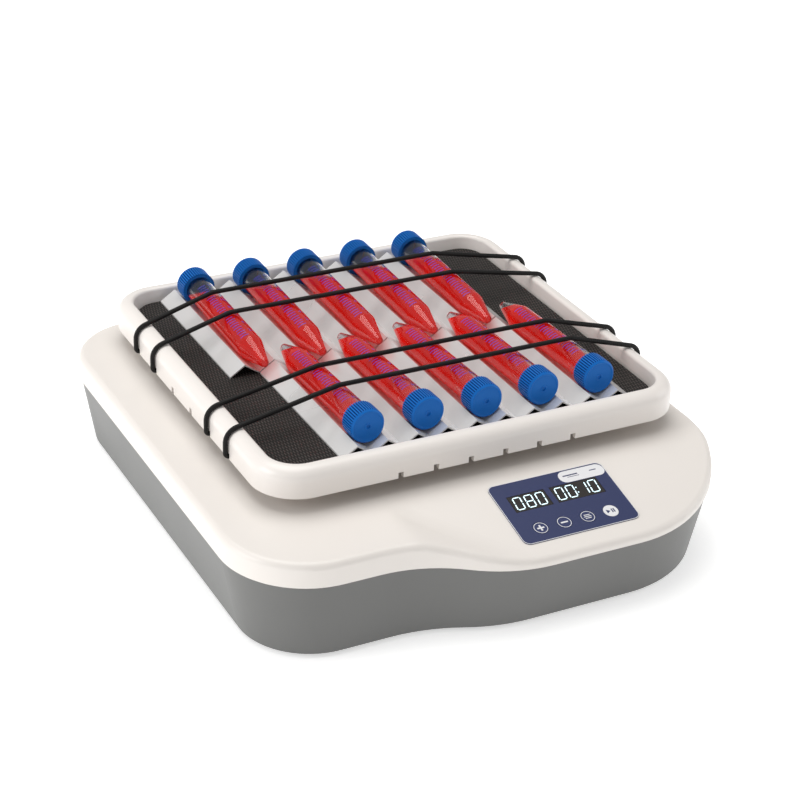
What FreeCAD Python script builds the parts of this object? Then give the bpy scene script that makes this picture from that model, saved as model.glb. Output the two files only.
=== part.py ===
import FreeCAD, Part
import Sketcher
import math
import os
import re

from FreeCAD import Vector

# A bench-top orbital shaker that carries ten 15 mL centrifuge tubes on two folded racks.
# Millimetres, +Z up, +X to the operator's right, the front with its keys faces -Y.
# The origin is the middle of the footprint, on the table.

# ---------------------------------------------------------------- driving sizes
SIZES = [
    # base: a lower casing with drafted sides and a cover on top of it
    ("base_width", 321, "over the cover, left to right"),
    ("base_depth", 349, "over the cover, front to back"),
    ("cover_top", 63, "flat top of the cover above the table"),
    ("foot_height", 3, "rubber foot below the casing"),
    ("foot_radius", 9, "rubber foot"),
    ("parting_height", 48, "where cover and casing meet, above the table"),
    ("parting_step", 0.8, "cover stands proud of the casing all round"),
    ("column_well", 30, "cover screws' heads above the table"),
    ("parting_dip", 12, "degrees, the joint falls toward the front right"),
    ("front_step", 23.5, "front left edge stands back from the front right edge"),
    ("step_x", -36.5, "middle of the S-shaped step in the front"),
    ("step_radius", 108, "each arc of the step"),
    ("corner_left_front", 52, "plan corner radius"),
    ("corner_right_front", 90, "plan corner radius"),
    ("corner_rear", 48, "plan corner radius, both rear corners"),
    ("side_draft", 8, "casing bottom stands in by this, sides, rear, front right"),
    ("recess_draft", 1, "casing bottom stands in by this, front left"),
    ("casing_wall", 3, "moulded wall of casing and cover"),
    ("cover_round", 4, "outer top edge of the cover"),
    ("slope_run", 64, "control slope, front edge to crease, measured level"),
    ("slope_angle", 13, "degrees, control slope"),
    ("ramp_x", -62, "left end of the ramp beside the control slope"),
    ("ramp_angle", 14, "degrees, ramp beside the control slope"),
    ("crease_round", 40, "where flat top, control slope and ramp meet"),
    # control panel, measured on the slope
    ("panel_width", 77.5, "overlay"),
    ("panel_depth", 50, "overlay"),
    ("panel_x", 39, "middle of the overlay"),
    ("panel_foot", 13, "front edge of the slope to the overlay"),
    ("panel_corner", 4.5, "overlay corner"),
    ("overlay_thickness", 0.5, "printed overlay"),
    ("key_radius", 4.6, "round key"),
    ("key_gap", 0.2, "round a key, and under its skirt when pressed"),
    ("key_travel", 0.4, "how far a key goes down"),
    ("key_skirt", 1.2, "height of the key's head"),
    ("key_v", 10.2, "row of keys above the overlay's lower edge"),
    ("key_pitch", 15.7, "between keys"),
    ("key_x", -23.5, "first key from the overlay's middle"),
    ("stem_radius", 1.6, "key stem"),
    ("stem_length", 4.5, "key stem below its head"),
    ("switch_size", 6.2, "square tactile switch body"),
    ("switch_height", 3.6, "tactile switch body"),
    ("window_v", 32.2, "middle of the display windows above the overlay's lower edge"),
    ("window_height", 13.5, "display window"),
    ("rpm_window", 25, "width of the speed window"),
    ("rpm_x", -18.6, "middle of the speed window from the overlay's middle"),
    ("time_window", 32.1, "width of the time window"),
    ("time_x", 13.5, "middle of the time window from the overlay's middle"),
    ("display_gap", 0.2, "round a display in its window"),
    ("display_depth", 9, "display module"),
    ("board_thickness", 1.6, "circuit board"),
    ("control_board_width", 84, "circuit board under the panel"),
    ("control_board_depth", 50, "circuit board under the panel"),
    # platform
    ("tray_width", 279, "tray, outside, left to right"),
    ("tray_depth", 266, "tray, outside, front to back"),
    ("tray_corner", 28, "plan corner radius, outside"),
    ("tray_height", 18, "lower edge to crest"),
    ("tray_lift", 10, "lower edge above the cover"),
    ("tray_wall", 3, "outer wall and floor of the tray"),
    ("tray_floor_drop", 11, "crest down to the floor"),
    ("rim_width", 12, "outside of the tray to the foot of its inner wall"),
    ("rim_round", 7.5, "outer rounding of the rim"),
    ("rim_inner_round", 2.2, "inner rounding of the rim"),
    ("rim_taper", 10, "degrees, inner wall"),
    ("notch_width", 3.5, "cord notch in the tray's lower edge"),
    ("notch_height", 3.8, "cord notch"),
    ("side_notch_pitch", 29.15, "between notches, left and right sides"),
    ("front_notch_pitch", 23, "between notches, front and rear sides"),
    ("mat_gap", 1, "round the mat"),
    ("mat_thickness", 3, "rubber mat"),
    ("mat_bevel", 0.8, "top edge of the mat"),
    # racks, tubes and cords
    ("groove_pitch", 19.5, "folded sheet, groove to groove"),
    ("groove_rise", 6.6, "folded sheet, valley to peak"),
    ("sheet_thickness", 0.8, "folded sheet"),
    ("rack_length", 117, "folded sheet along its grooves"),
    ("rack_gap", 0.5, "each rack to the line between the two"),
    ("tube_radius", 8.4, "15 mL tube outside"),
    ("tube_wall", 1, "15 mL tube"),
    ("tube_length", 119, "cap face to tip"),
    ("tube_cone", 22, "conical end"),
    ("tip_radius", 2.6, "flat end of the cone"),
    ("cap_radius", 10.9, "screw cap"),
    ("cap_height", 12.6, "screw cap"),
    ("cap_top", 1.6, "screw cap end wall"),
    ("cap_face_y", 111, "cap face from the tray's middle"),
    ("seat_gap", 0.1, "round parts above the sheet they rest on"),
    ("fill_gap", 0.1, "sample inside the tube wall, tube inside the cap"),
    ("fill_start", 14.5, "sample from the cap face"),
    ("fill_level", -2, "sample level at its start, from the tube's axis"),
    ("fill_reach", 30, "length over which the sample's surface climbs to the wall"),
    ("cord_radius", 1.5, "elastic cord"),
    ("cord_gap", 0.25, "cord to tray and tubes"),
    ("cord_bend", 2.5, "cord radius at a notch"),
    ("bead_radius", 2.2, "crimped bead on each end of a cord"),
    ("bead_length", 4, "crimped bead"),
    # drive
    ("orbit_radius", 10, "throw of every crank"),
    ("orbit_angle", 10, "degrees, where the cranks stand at rest"),
    ("drive_y", 32.7, "drive crank behind the middle of the base"),
    ("idler_side_x", 92, "two front idlers, left and right"),
    ("idler_front_y", -65, "two front idlers from the drive crank"),
    ("idler_rear_y", 90, "rear idler from the drive crank"),
    ("shaft_radius", 3.95, "crank shafts"),
    ("pin_slack", 0.3, "idler pins are this much thinner"),
    ("bearing_bore", 4, "608 ball bearing"),
    ("bearing_radius", 11, "608 ball bearing"),
    ("bearing_width", 7, "608 ball bearing"),
    ("housing_radius", 15, "bearing housing"),
    ("housing_flange", 22, "bearing housing foot"),
    ("housing_height", 20, "bearing housing"),
    ("plate_bottom", 24, "chassis plate above the table"),
    ("plate_thickness", 3, "chassis plate"),
    ("plate_width", 248, "chassis plate"),
    ("plate_depth", 222, "chassis plate"),
    ("plate_y", 40, "middle of the chassis plate"),
    ("crank_radius", 18, "crank disc"),
    ("crank_thickness", 6, "crank disc"),
    ("crank_lift", 3, "crank disc above its housing"),
    ("pin_hole", 17, "hole in the cover round each orbiting pin"),
    ("carrier_thickness", 3, "carrier plate under the tray"),
    ("carrier_width", 222, "carrier plate"),
    ("carrier_depth", 192, "carrier plate"),
    ("hub_radius", 14, "bearing hub under the carrier"),
    ("hub_height", 9, "bearing hub under the carrier"),
    ("pulley_bottom", 11, "both pulleys above the table"),
    ("pulley_width", 8, "both pulleys"),
    ("pulley_flange", 1.2, "rim on each side of the belt"),
    ("drive_pulley_radius", 33, "belt seat of the crank pulley"),
    ("motor_pulley_radius", 11, "belt seat of the motor pulley"),
    ("flange_rise", 2.6, "pulley rims above the belt seat"),
    ("belt_thickness", 1.6, "flat belt"),
    ("belt_gap", 0.3, "belt to pulley"),
    ("motor_x", -78, "motor from the drive crank"),
    ("motor_radius", 21, "motor"),
    ("motor_height", 27, "motor"),
    ("motor_shaft_radius", 2.95, "motor shaft"),
    ("weight_radius", 37, "counterweight"),
    ("weight_thickness", 7, "counterweight"),
    # fasteners
    ("screw_radius", 1.5, "M3 screws"),
    ("screw_gap", 0.1, "round a screw"),
    ("screw_head", 2.9, "M3 head"),
    ("head_height", 2.2, "M3 head"),
    # rear connections
    ("inlet_x", -100, "power inlet"),
    ("rocker_x", -66, "power switch"),
    ("rear_panel_z", 22, "middle of the rear connections"),
    ("inlet_radius", 5.5, "low-voltage power inlet barrel"),
    ("rocker_length", 19, "switch opening, upright"),
    ("rocker_width", 12.6, "switch opening, across"),
    ("rocker_reach", 7.6, "rocker, hinge to either end"),
    ("rocker_proud", 1, "rocker face in front of its hinge"),
    ("rocker_swing", 16, "degrees, off to on"),
]

doc = FreeCAD.newDocument("orbital_shaker")
sheet = doc.addObject("Spreadsheet::Sheet", "Sizes")
for row, (alias, number, note) in enumerate(SIZES, start=1):
    sheet.set(f"A{row}", alias)
    sheet.set(f"B{row}", str(number))
    sheet.set(f"C{row}", note)
    sheet.setAlias(f"B{row}", alias)
doc.recompute()

ALIAS = re.compile(r"\b(" + "|".join(alias for alias, _, _ in SIZES) + r")\b")
nodes = []


# ---------------------------------------------------------------- small helpers
def linked(text):
    """An expression on the sheet's aliases, in the form other objects need."""
    return ALIAS.sub(r"Sizes.\g<0>", str(text))


def value(text):
    """What an expression is worth now."""
    found = sheet.evalExpression(linked(text))
    return float(getattr(found, "Value", found))


def place(item, x=0, y=0, z=0, yaw=0, pitch=0, roll=0):
    """Bind an object's placement to the sheet."""
    item.setExpression("Placement", linked(
        f"create(<<placement>>; create(<<vector>>; {x}; {y}; {z});"
        f" create(<<rotation>>; {yaw}; {pitch}; {roll}))"))
    return item


def on_panel(item):
    """Put an object made in panel coordinates on the control slope.

    Panel coordinates: X to the right, Y up the slope from its front edge, Z off the surface.
    """
    return place(item, 0, SLOPE_Y, SLOPE_Z, roll="slope_angle")


def bound(kind, name, **sizes):
    """A Part primitive with its properties bound to the sheet."""
    item = doc.addObject(kind, name)
    for key, text in sizes.items():
        item.setExpression(key, linked(text))
    return item


def block(name, length, width, height, x, y, z, yaw=0, pitch=0, roll=0):
    """A box, centred on x and y, that stands on z."""
    item = bound("Part::Box", name, Length=length, Width=width, Height=height)
    return place(item, f"{x} - ({length}) / 2", f"{y} - ({width}) / 2", z, yaw, pitch, roll)


def rod(name, radius, height, x, y, z, pitch=0, roll=0):
    """A cylinder that starts at x, y, z; pitch 90 lays it along +X, roll -90 along +Y."""
    item = bound("Part::Cylinder", name, Radius=radius, Height=height)
    return place(item, x, y, z, 0, pitch, roll)


def join(name, shapes):
    """One solid made of several that overlap or touch."""
    item = doc.addObject("Part::MultiFuse", name)
    item.Shapes = shapes
    item.Refine = True
    return item


def group(name, shapes):
    """Several separate solids in one sub-part."""
    item = doc.addObject("Part::Compound", name)
    item.Links = shapes
    return item


def cut(name, base, tools):
    """A solid with one or more others taken away."""
    item = doc.addObject("Part::Cut", name)
    item.Base = base
    item.Tool = tools[0] if len(tools) == 1 else join(name + "_tools", tools)
    return item


def node(item, label):
    """Name a finished sub-part; the label is its file name."""
    item.Label = label
    nodes.append(item)
    return item


# ---------------------------------------------------------------- sketch helpers
def body_of(name):
    body = doc.addObject("PartDesign::Body", name)
    body.AllowCompound = True
    return body


def sketch_on(body, role, name, offset=0):
    """A sketch on one of the body's own origin planes, moved along its normal."""
    sketch = body.newObject("Sketcher::SketchObject", name)
    plane = [f for f in body.Origin.OriginFeatures if f.Role == role][0]
    sketch.AttachmentSupport = (plane, [""])
    sketch.MapMode = "FlatFace"
    sketch.setExpression("AttachmentOffset.Base.z", linked(offset))
    return sketch


def fix(sketch, kind, *where, size):
    """A dimension of the sketch, bound to the sheet."""
    number = sketch.addConstraint(Sketcher.Constraint(kind, *where, value(size)))
    sketch.setExpression(f"Constraints[{number}]", linked(size))


def trace(sketch, pieces):
    """Lines and arcs end to end, tangent at every join; a piece is (shape, runs_backwards)."""
    numbers = [sketch.addGeometry(shape, False) for shape, _ in pieces]
    for k, (_, backwards) in enumerate(pieces):
        after = (k + 1) % len(pieces)
        leave = 1 if backwards else 2
        arrive = 2 if pieces[after][1] else 1
        sketch.addConstraint(
            Sketcher.Constraint("Tangent", numbers[k], leave, numbers[after], arrive))
    return numbers


def line(x0, y0, x1, y1):
    return Part.LineSegment(Vector(x0, y0, 0), Vector(x1, y1, 0)), False


def arc(x, y, radius, start, end, backwards=False):
    circle = Part.Circle(Vector(x, y, 0), Vector(0, 0, 1), radius)
    return Part.ArcOfCircle(circle, math.radians(start), math.radians(end)), backwards


def circle(sketch, x, y, radius):
    number = sketch.addGeometry(
        Part.Circle(Vector(value(x), value(y), 0), Vector(0, 0, 1), value(radius)), False)
    fix(sketch, "Radius", number, size=radius)
    fix(sketch, "DistanceX", -1, 1, number, 3, size=x)
    fix(sketch, "DistanceY", -1, 1, number, 3, size=y)


def rounded_rectangle(sketch, width, depth, radius, x=0, y=0):
    w, d, r = value(width) / 2, value(depth) / 2, value(radius)
    cx, cy = value(x), value(y)
    numbers = trace(sketch, [
        line(cx - w + r, cy - d, cx + w - r, cy - d),
        arc(cx + w - r, cy - d + r, r, 270, 360),
        line(cx + w, cy - d + r, cx + w, cy + d - r),
        arc(cx + w - r, cy + d - r, r, 0, 90),
        line(cx + w - r, cy + d, cx - w + r, cy + d),
        arc(cx - w + r, cy + d - r, r, 90, 180),
        line(cx - w, cy + d - r, cx - w, cy - d + r),
        arc(cx - w + r, cy - d + r, r, 180, 270),
    ])
    for k in (0, 4):
        sketch.addConstraint(Sketcher.Constraint("Horizontal", numbers[k]))
        sketch.addConstraint(Sketcher.Constraint("Vertical", numbers[k + 2]))
    for k in (3, 5, 7):
        sketch.addConstraint(Sketcher.Constraint("Equal", numbers[1], numbers[k]))
    fix(sketch, "Radius", numbers[1], size=radius)
    fix(sketch, "DistanceY", -1, 1, numbers[0], 1, size=f"{y} - ({depth}) / 2")
    fix(sketch, "DistanceX", -1, 1, numbers[2], 1, size=f"{x} + ({width}) / 2")
    fix(sketch, "DistanceY", -1, 1, numbers[4], 1, size=f"{y} + ({depth}) / 2")
    fix(sketch, "DistanceX", -1, 1, numbers[6], 1, size=f"{x} - ({width}) / 2")


def polygon(sketch, points):
    """A closed outline of straight lines, each corner tied to the sheet."""
    corners = [(value(x), value(y)) for x, y in points]
    numbers = []
    for k, (x, y) in enumerate(corners):
        end = corners[(k + 1) % len(corners)]
        numbers.append(sketch.addGeometry(line(x, y, *end)[0], False))
    for k, number in enumerate(numbers):
        after = numbers[(k + 1) % len(numbers)]
        sketch.addConstraint(Sketcher.Constraint("Coincident", number, 2, after, 1))
    for number, (x, y) in zip(numbers, points):
        fix(sketch, "DistanceX", -1, 1, number, 1, size=x)
        fix(sketch, "DistanceY", -1, 1, number, 1, size=y)


def pad(body, sketch, length, name):
    feature = body.newObject("PartDesign::Pad", name)
    feature.Profile = sketch
    feature.setExpression("Length", linked(length))
    return feature


def pocket(body, sketch, name, length=None, upward=False, both_ways=False):
    feature = body.newObject("PartDesign::Pocket", name)
    feature.Profile = sketch
    feature.Reversed = upward
    if both_ways:
        feature.Midplane = True
    if length is None:
        feature.Type = "ThroughAll"
    else:
        feature.setExpression("Length", linked(length))
    return feature


def turned(body, sketch, axis, name):
    feature = body.newObject("PartDesign::Revolution", name)
    feature.Profile = sketch
    feature.ReferenceAxis = (sketch, [axis])
    feature.Angle = 360
    return feature


def repeat(body, features, sketch, axis, count, spacing, name):
    feature = body.newObject("PartDesign::LinearPattern", name)
    feature.Originals = features
    feature.Direction = (sketch, [axis])
    feature.Occurrences = count
    feature.setExpression("Length", linked(f"({spacing}) * {count - 1}"))
    body.Tip = feature
    return feature


def rounded(body, base, wanted, radius, name, kind="PartDesign::Fillet"):
    """Round or bevel the edges of a feature that pass a test."""
    doc.recompute()
    picked = [f"Edge{k}" for k, edge in enumerate(base.Shape.Edges, start=1) if wanted(edge)]
    feature = body.newObject(kind, name)
    feature.Base = (base, picked)
    key = "Radius" if kind.endswith("Fillet") else "Size"
    feature.setExpression(key, linked(radius))
    return feature


def at_height(text):
    """A test for edges that lie level at a height."""
    def wanted(edge):
        level = value(text)
        return abs(edge.BoundBox.ZMin - level) < 1e-4 and abs(edge.BoundBox.ZMax - level) < 1e-4
    return wanted


# ---------------------------------------------------------------- levels and places
SLOPE_Y = "(-base_depth / 2)"
SLOPE_Z = "(cover_top - slope_run * tan(slope_angle))"
STEP_Y = "(-base_depth / 2 + front_step)"
FLOOR = "(foot_height + casing_wall)"
PLATE_TOP = "(plate_bottom + plate_thickness)"
HOUSING_TOP = f"({PLATE_TOP} + housing_height)"
CRANK_BOTTOM = f"({HOUSING_TOP} + crank_lift)"
CRANK_TOP = f"({CRANK_BOTTOM} + crank_thickness)"
TRAY_BOTTOM = "(cover_top + tray_lift)"
CREST = f"({TRAY_BOTTOM} + tray_height)"
TRAY_FLOOR = f"({CREST} - tray_floor_drop)"
CARRIER_TOP = f"({TRAY_FLOOR} - tray_wall)"
CARRIER_BOTTOM = f"({CARRIER_TOP} - carrier_thickness)"
MAT_TOP = f"({TRAY_FLOOR} + mat_thickness)"
VALLEY_TOP = f"({MAT_TOP} + sheet_thickness / cos(atan(2 * groove_rise / groove_pitch)))"
FOLD_COS = "cos(atan(2 * groove_rise / groove_pitch))"
ORBIT_X = "(orbit_radius * cos(orbit_angle))"
ORBIT_Y = "(orbit_radius * sin(orbit_angle))"
TRAY_X = ORBIT_X
TRAY_Y = f"(drive_y + {ORBIT_Y})"
IDLERS = [
    ("(-idler_side_x)", "(drive_y + idler_front_y)"),
    ("idler_side_x", "(drive_y + idler_front_y)"),
    ("0", "(drive_y + idler_rear_y)"),
]
CRANKS = [("0", "drive_y")] + IDLERS
CASING_COLUMNS = [
    ("(25 - base_width / 2)", "(57 - base_depth / 2)"),
    ("(base_width / 2 - 45)", "(47 - base_depth / 2)"),
    ("(base_width / 2 - 25)", "(base_depth / 2 - 28)"),
    ("(25 - base_width / 2)", "(base_depth / 2 - 28)"),
]
FEET = [
    ("(42 - base_width / 2)", "(70 - base_depth / 2)"),
    ("(base_width / 2 - 55)", "(58 - base_depth / 2)"),
    ("(base_width / 2 - 40)", "(base_depth / 2 - 60)"),
    ("(42 - base_width / 2)", "(base_depth / 2 - 60)"),
]
POSTS = [(f"({sx} * (plate_width / 2 - 8))", f"(plate_y + {sy} * (plate_depth / 2 - 8))")
         for sx in (-1, 1) for sy in (-1, 0, 1)]


REAR_FACE = "(base_depth / 2 - 3)"
ROCKER_Y = f"({REAR_FACE} - 0.5)"
POWER_BOARD = ("(60 - base_width / 2)", "(85 - base_depth / 2)")
POWER_POSTS = [(f"({POWER_BOARD[0]} + {sx * 27})", f"({POWER_BOARD[1]} + {sy * 16})")
               for sx in (-1, 1) for sy in (-1, 1)]
BOARD_TOP = "(1 - key_skirt - stem_length - switch_height)"
BOARD_TAP = "(2 * screw_radius / 3 + screw_gap)"
PANEL_MIDDLE = "(panel_foot + panel_depth / 2)"
BOARD_HOLES = [(f"(panel_x + {sx} * (control_board_width / 2 - 4))",
                f"({PANEL_MIDDLE} + {sy} * (control_board_depth / 2 - 4))")
               for sx in (-1, 1) for sy in (-1, 1)]


# ---------------------------------------------------------------- casing outline
def casing_outline(sketch, side, recess):
    """The plan shape, moved in by `side` all round and by `recess` at the front left."""
    half, deep = f"(base_width / 2 - ({side}))", f"(base_depth / 2 - ({side}))"
    left_y = f"({STEP_Y} + ({recess}))"
    out_r, in_r = f"(step_radius + ({recess}))", f"(step_radius - ({side}))"
    drop, both = f"({deep} + {left_y})", f"({out_r} + {in_r})"
    run = f"sqrt(({both}) ^ 2 - ({both} - {drop}) ^ 2)"
    lf, rf, rr = (f"({r} - ({side}))" for r in
                  ("corner_left_front", "corner_right_front", "corner_rear"))
    w, d, yl = value(half), value(deep), value(left_y)
    ra, rb, s = value(out_r), value(in_r), value(run)
    turn = math.degrees(math.asin(s / (ra + rb)))
    x0 = value("step_x") - s / 2
    a, b, c = value(lf), value(rf), value(rr)
    numbers = trace(sketch, [
        arc(-w + a, yl + a, a, 180, 270),
        line(-w + a, yl, x0, yl),
        arc(x0, yl - ra, ra, 90 - turn, 90, backwards=True),
        arc(x0 + s, -d + rb, rb, 270 - turn, 270),
        line(x0 + s, -d, w - b, -d),
        arc(w - b, -d + b, b, 270, 360),
        line(w, -d + b, w, d - c),
        arc(w - c, d - c, c, 0, 90),
        line(w - c, d, -w + c, d),
        arc(-w + c, d - c, c, 90, 180),
        line(-w, d - c, -w, yl + a),
    ])
    for k in (1, 4, 8):
        sketch.addConstraint(Sketcher.Constraint("Horizontal", numbers[k]))
    for k in (6, 10):
        sketch.addConstraint(Sketcher.Constraint("Vertical", numbers[k]))
    for k, radius in ((0, lf), (2, out_r), (3, in_r), (5, rf), (7, rr), (9, rr)):
        fix(sketch, "Radius", numbers[k], size=radius)
    fix(sketch, "DistanceY", -1, 1, numbers[1], 1, size=left_y)
    fix(sketch, "DistanceX", -1, 1, numbers[2], 3, size=f"step_x - {run} / 2")
    fix(sketch, "DistanceY", -1, 1, numbers[4], 1, size=f"-{deep}")
    fix(sketch, "DistanceX", -1, 1, numbers[6], 1, size=half)
    fix(sketch, "DistanceY", -1, 1, numbers[8], 1, size=deep)
    fix(sketch, "DistanceX", -1, 1, numbers[10], 1, size=f"-{half}")


def dipped(y):
    """Height of the joint between cover and casing in front of the step."""
    return f"(parting_height + ({y} - {STEP_Y}) * tan(parting_dip))"


def loft(name, bottom, top, low, high):
    """A drafted block between two casing outlines, each given as (side, recess)."""
    body = body_of(name)
    lower = sketch_on(body, "XY_Plane", name + "_low", low)
    casing_outline(lower, *bottom)
    upper = sketch_on(body, "XY_Plane", name + "_high", high)
    casing_outline(upper, *top)
    feature = body.newObject("PartDesign::AdditiveLoft", name + "_loft")
    feature.Profile = lower
    feature.Sections = [upper]
    feature.Ruled = True
    return body


def casing():
    """Lower casing: a drafted tub with columns, posts and a flat for the rear connections."""
    inner = "casing_wall"
    outer = loft("casing_outer", ("parting_step + side_draft", "parting_step + recess_draft"),
                 ("parting_step", "parting_step"), "foot_height", "parting_height")
    hollow = loft("casing_hollow",
                  (f"parting_step + side_draft + {inner}", f"parting_step + recess_draft + {inner}"),
                  (f"parting_step + {inner}", f"parting_step + {inner}"), FLOOR, "parting_height + 0.01")
    rear = REAR_FACE
    flat_x, flat_w = "((inlet_x + rocker_x) / 2)", "(rocker_x - inlet_x + 42)"
    flat = block("casing_flat", flat_w, 16, 30, flat_x, f"({rear} - 8)", "rear_panel_z - 15")
    flat_back = block("casing_flat_back", f"({flat_w} - 6)", 30, 24, flat_x,
                      f"({rear} - casing_wall - 15)", "rear_panel_z - 12")
    shell = cut("casing_shell", join("casing_block", [outer, flat]), [hollow, flat_back])
    solids, holes = [shell], []
    for k, (x, y) in enumerate(CASING_COLUMNS):
        solids.append(rod(f"column_{k}", 6, f"parting_height - {FLOOR}", x, y, FLOOR))
        holes.append(rod(f"column_bore_{k}", "screw_radius + 0.3", "parting_height", x, y, 0))
        holes.append(rod(f"column_well_{k}", "screw_head + 1", "column_well", x, y, 0))
    for k, (x, y) in enumerate(FEET):
        solids.append(rod(f"foot_boss_{k}", 4.5, 8, x, y, FLOOR))
        holes.append(rod(f"foot_bore_{k}", "screw_radius + screw_gap", f"{FLOOR} + 7", x, y, 0))
    for k, (x, y) in enumerate(POWER_POSTS):
        solids.append(rod(f"power_post_{k}", 3, 8, x, y, FLOOR))
        holes.append(rod(f"power_bore_{k}", "screw_radius + screw_gap", 7, x, y, f"{FLOOR} + 1.5"))
    holes.append(rod("inlet_hole", "inlet_radius + 0.2", 40, "inlet_x", f"({rear} - 20)",
                     "rear_panel_z", roll=-90))
    holes.append(block("rocker_hole", "rocker_width + 0.6", 40, "rocker_length + 0.6", "rocker_x",
                       rear, "rear_panel_z - (rocker_length + 0.6) / 2"))
    above = body_of("casing_dip")
    side_view = sketch_on(above, "YZ_Plane", "casing_dip_view", "-base_width")
    far = "(-base_depth)"
    polygon(side_view, [(STEP_Y, "parting_height"), (STEP_Y, "cover_top * 2"),
                        (far, "cover_top * 2"), (far, dipped(far))])
    pad(above, side_view, "base_width * 2", "casing_dip_pad")
    return node(cut("casing_cut", join("casing_solids", solids), holes + [above]), "lower_casing")


FACES_UP, FACES_SIDEWAYS = 0.9, 0.1


def cover_block(name, inset, drop, radius):
    """The cover's outer block, or the hollow inside it when it is moved in by a wall."""
    body = body_of(name)
    low = dipped(SLOPE_Y)
    plan = sketch_on(body, "XY_Plane", name + "_plan", f"{low} - 1")
    casing_outline(plan, inset, inset)
    pad(body, plan, f"cover_top - ({drop}) - {low} + 1", name + "_pad")
    side_view = sketch_on(body, "YZ_Plane", name + "_joint")
    far, near = "(base_depth)", "(-base_depth)"
    polygon(side_view, [(near, dipped(near)), (STEP_Y, "parting_height"),
                        (far, "parting_height"), (far, "-cover_top"), (near, "-cover_top")])
    pocket(body, side_view, name + "_under", both_ways=True)
    slope = bound("Part::Box", name + "_slope", Length="base_width * 2", Width="base_depth",
                  Height="cover_top")
    place(slope, "-base_width", f"{SLOPE_Y} - 20 * cos(slope_angle)",
          f"{SLOPE_Z} - 20 * sin(slope_angle) - ({drop}) / cos(slope_angle)", roll="slope_angle")
    ramp = bound("Part::Box", name + "_ramp", Length="base_width * 2", Width="base_depth * 2",
                 Height="cover_top")
    place(ramp, f"ramp_x - ({drop}) * tan(ramp_angle / 2)", "-base_depth",
          f"cover_top - ({drop})", pitch="ramp_angle")
    both = doc.addObject("Part::Common", name + "_facet")
    both.Base, both.Tool = slope, ramp
    shaped = cut(name + "_shaped", body, [both])
    if not radius:
        return shaped
    doc.recompute()
    rim = []
    for k, edge in enumerate(shaped.Shape.Edges, start=1):
        middle = edge.valueAt((edge.FirstParameter + edge.LastParameter) / 2)
        faces = shaped.Shape.ancestorsOfType(edge, Part.Face)
        tilts = sorted(face.normalAt(*face.Surface.parameter(middle)).z for face in faces)
        size = value("crease_round") if tilts[0] > FACES_UP else value(radius)
        if tilts[-1] > FACES_UP and (tilts[0] > FACES_UP or abs(tilts[0]) < FACES_SIDEWAYS):
            rim.append((k, size, size))
    fillet = doc.addObject("Part::Fillet", name + "_round")
    fillet.Base = shaped
    fillet.Edges = rim
    return fillet


def cover():
    """Top cover: shell with a control slope, pin holes, panel openings and screw bosses."""
    outer = cover_block("cover_outer", "0", "0", "cover_round")
    hollow = cover_block("cover_hollow", "casing_wall", "casing_wall", None)
    bosses, holes = [], []
    for k, (x, y) in enumerate(CASING_COLUMNS):
        bosses.append(rod(f"boss_{k}", 4.5, "cover_top", x, y, 0))
        holes.append(rod(f"boss_bore_{k}", "screw_radius + screw_gap", 5, x, y, "parting_height - 1"))
    shell = cut("cover_shell", outer, [cut("cover_hollow_bosses", hollow, bosses)])
    pillars, taps = [], []
    for k, (u, v) in enumerate(BOARD_HOLES):
        pillars.append(rod(f"pillar_{k}", 3, f"-1 - {BOARD_TOP}", u, v, BOARD_TOP))
        taps.append(rod(f"pillar_tap_{k}", BOARD_TAP, 5, u, v, f"{BOARD_TOP} - 0.5"))
    solids = [shell, on_panel(group("pillars", pillars))]
    holes.append(on_panel(group("pillar_taps", taps)))
    for k, (x, y) in enumerate(CRANKS):
        holes.append(rod(f"pin_hole_{k}", "pin_hole", 40, x, y, "cover_top - 20"))
    opening = block("display_opening", "time_window / 2 + time_x - rpm_x + rpm_window / 2 + 2",
                    "window_height + 2", 30,
                    "panel_x + (time_x + rpm_x) / 2 + (time_window - rpm_window) / 4",
                    "panel_foot + window_v", -15)
    wells = [opening]
    for k in range(4):
        u = f"(panel_x + key_x + {k} * key_pitch)"
        v = "(panel_foot + key_v)"
        wells.append(rod(f"key_well_{k}", "key_radius + 2 * key_gap", 10, u, v,
                         "-(key_skirt + key_travel + key_gap)"))
        wells.append(rod(f"key_stem_hole_{k}", "stem_radius + 0.5", 20, u, v, -12))
    holes.append(on_panel(join("panel_openings", wells)))
    return node(cut("cover_cut", join("cover_solids", solids), holes), "top_cover")


# ---------------------------------------------------------------- base fittings
def screws(label, places, bottom, length, head_below=True, radius="screw_radius"):
    """A group of pan-head screws; the head is at the bottom, or on top of the shank."""
    made = []
    for k, (x, y) in enumerate(places):
        shank = rod(f"{label}_shank_{k}", radius, length, x, y, bottom)
        head_z = f"{bottom} - head_height" if head_below else f"{bottom} + {length}"
        head = rod(f"{label}_head_{k}", f"{radius} * screw_head / screw_radius", "head_height",
                   x, y, head_z)
        made.append(join(f"{label}_{k}", [shank, head]))
    return node(group(label + "_group", made), label)


def feet():
    """Four rubber feet with a counterbore for their screws."""
    made = []
    for k, (x, y) in enumerate(FEET):
        pad_shape = rod(f"foot_{k}", "foot_radius", "foot_height", x, y, 0)
        bore = rod(f"foot_hole_{k}", "screw_radius + screw_gap", "foot_height", x, y, 0)
        well = rod(f"foot_well_{k}", "screw_head + 0.3", "foot_height - 0.5", x, y, 0)
        made.append(cut(f"foot_cut_{k}", pad_shape, [bore, well]))
    node(group("feet_group", made), "rubber_feet")
    screws("foot_screws", FEET, "(foot_height - 0.5)", "9")


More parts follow.
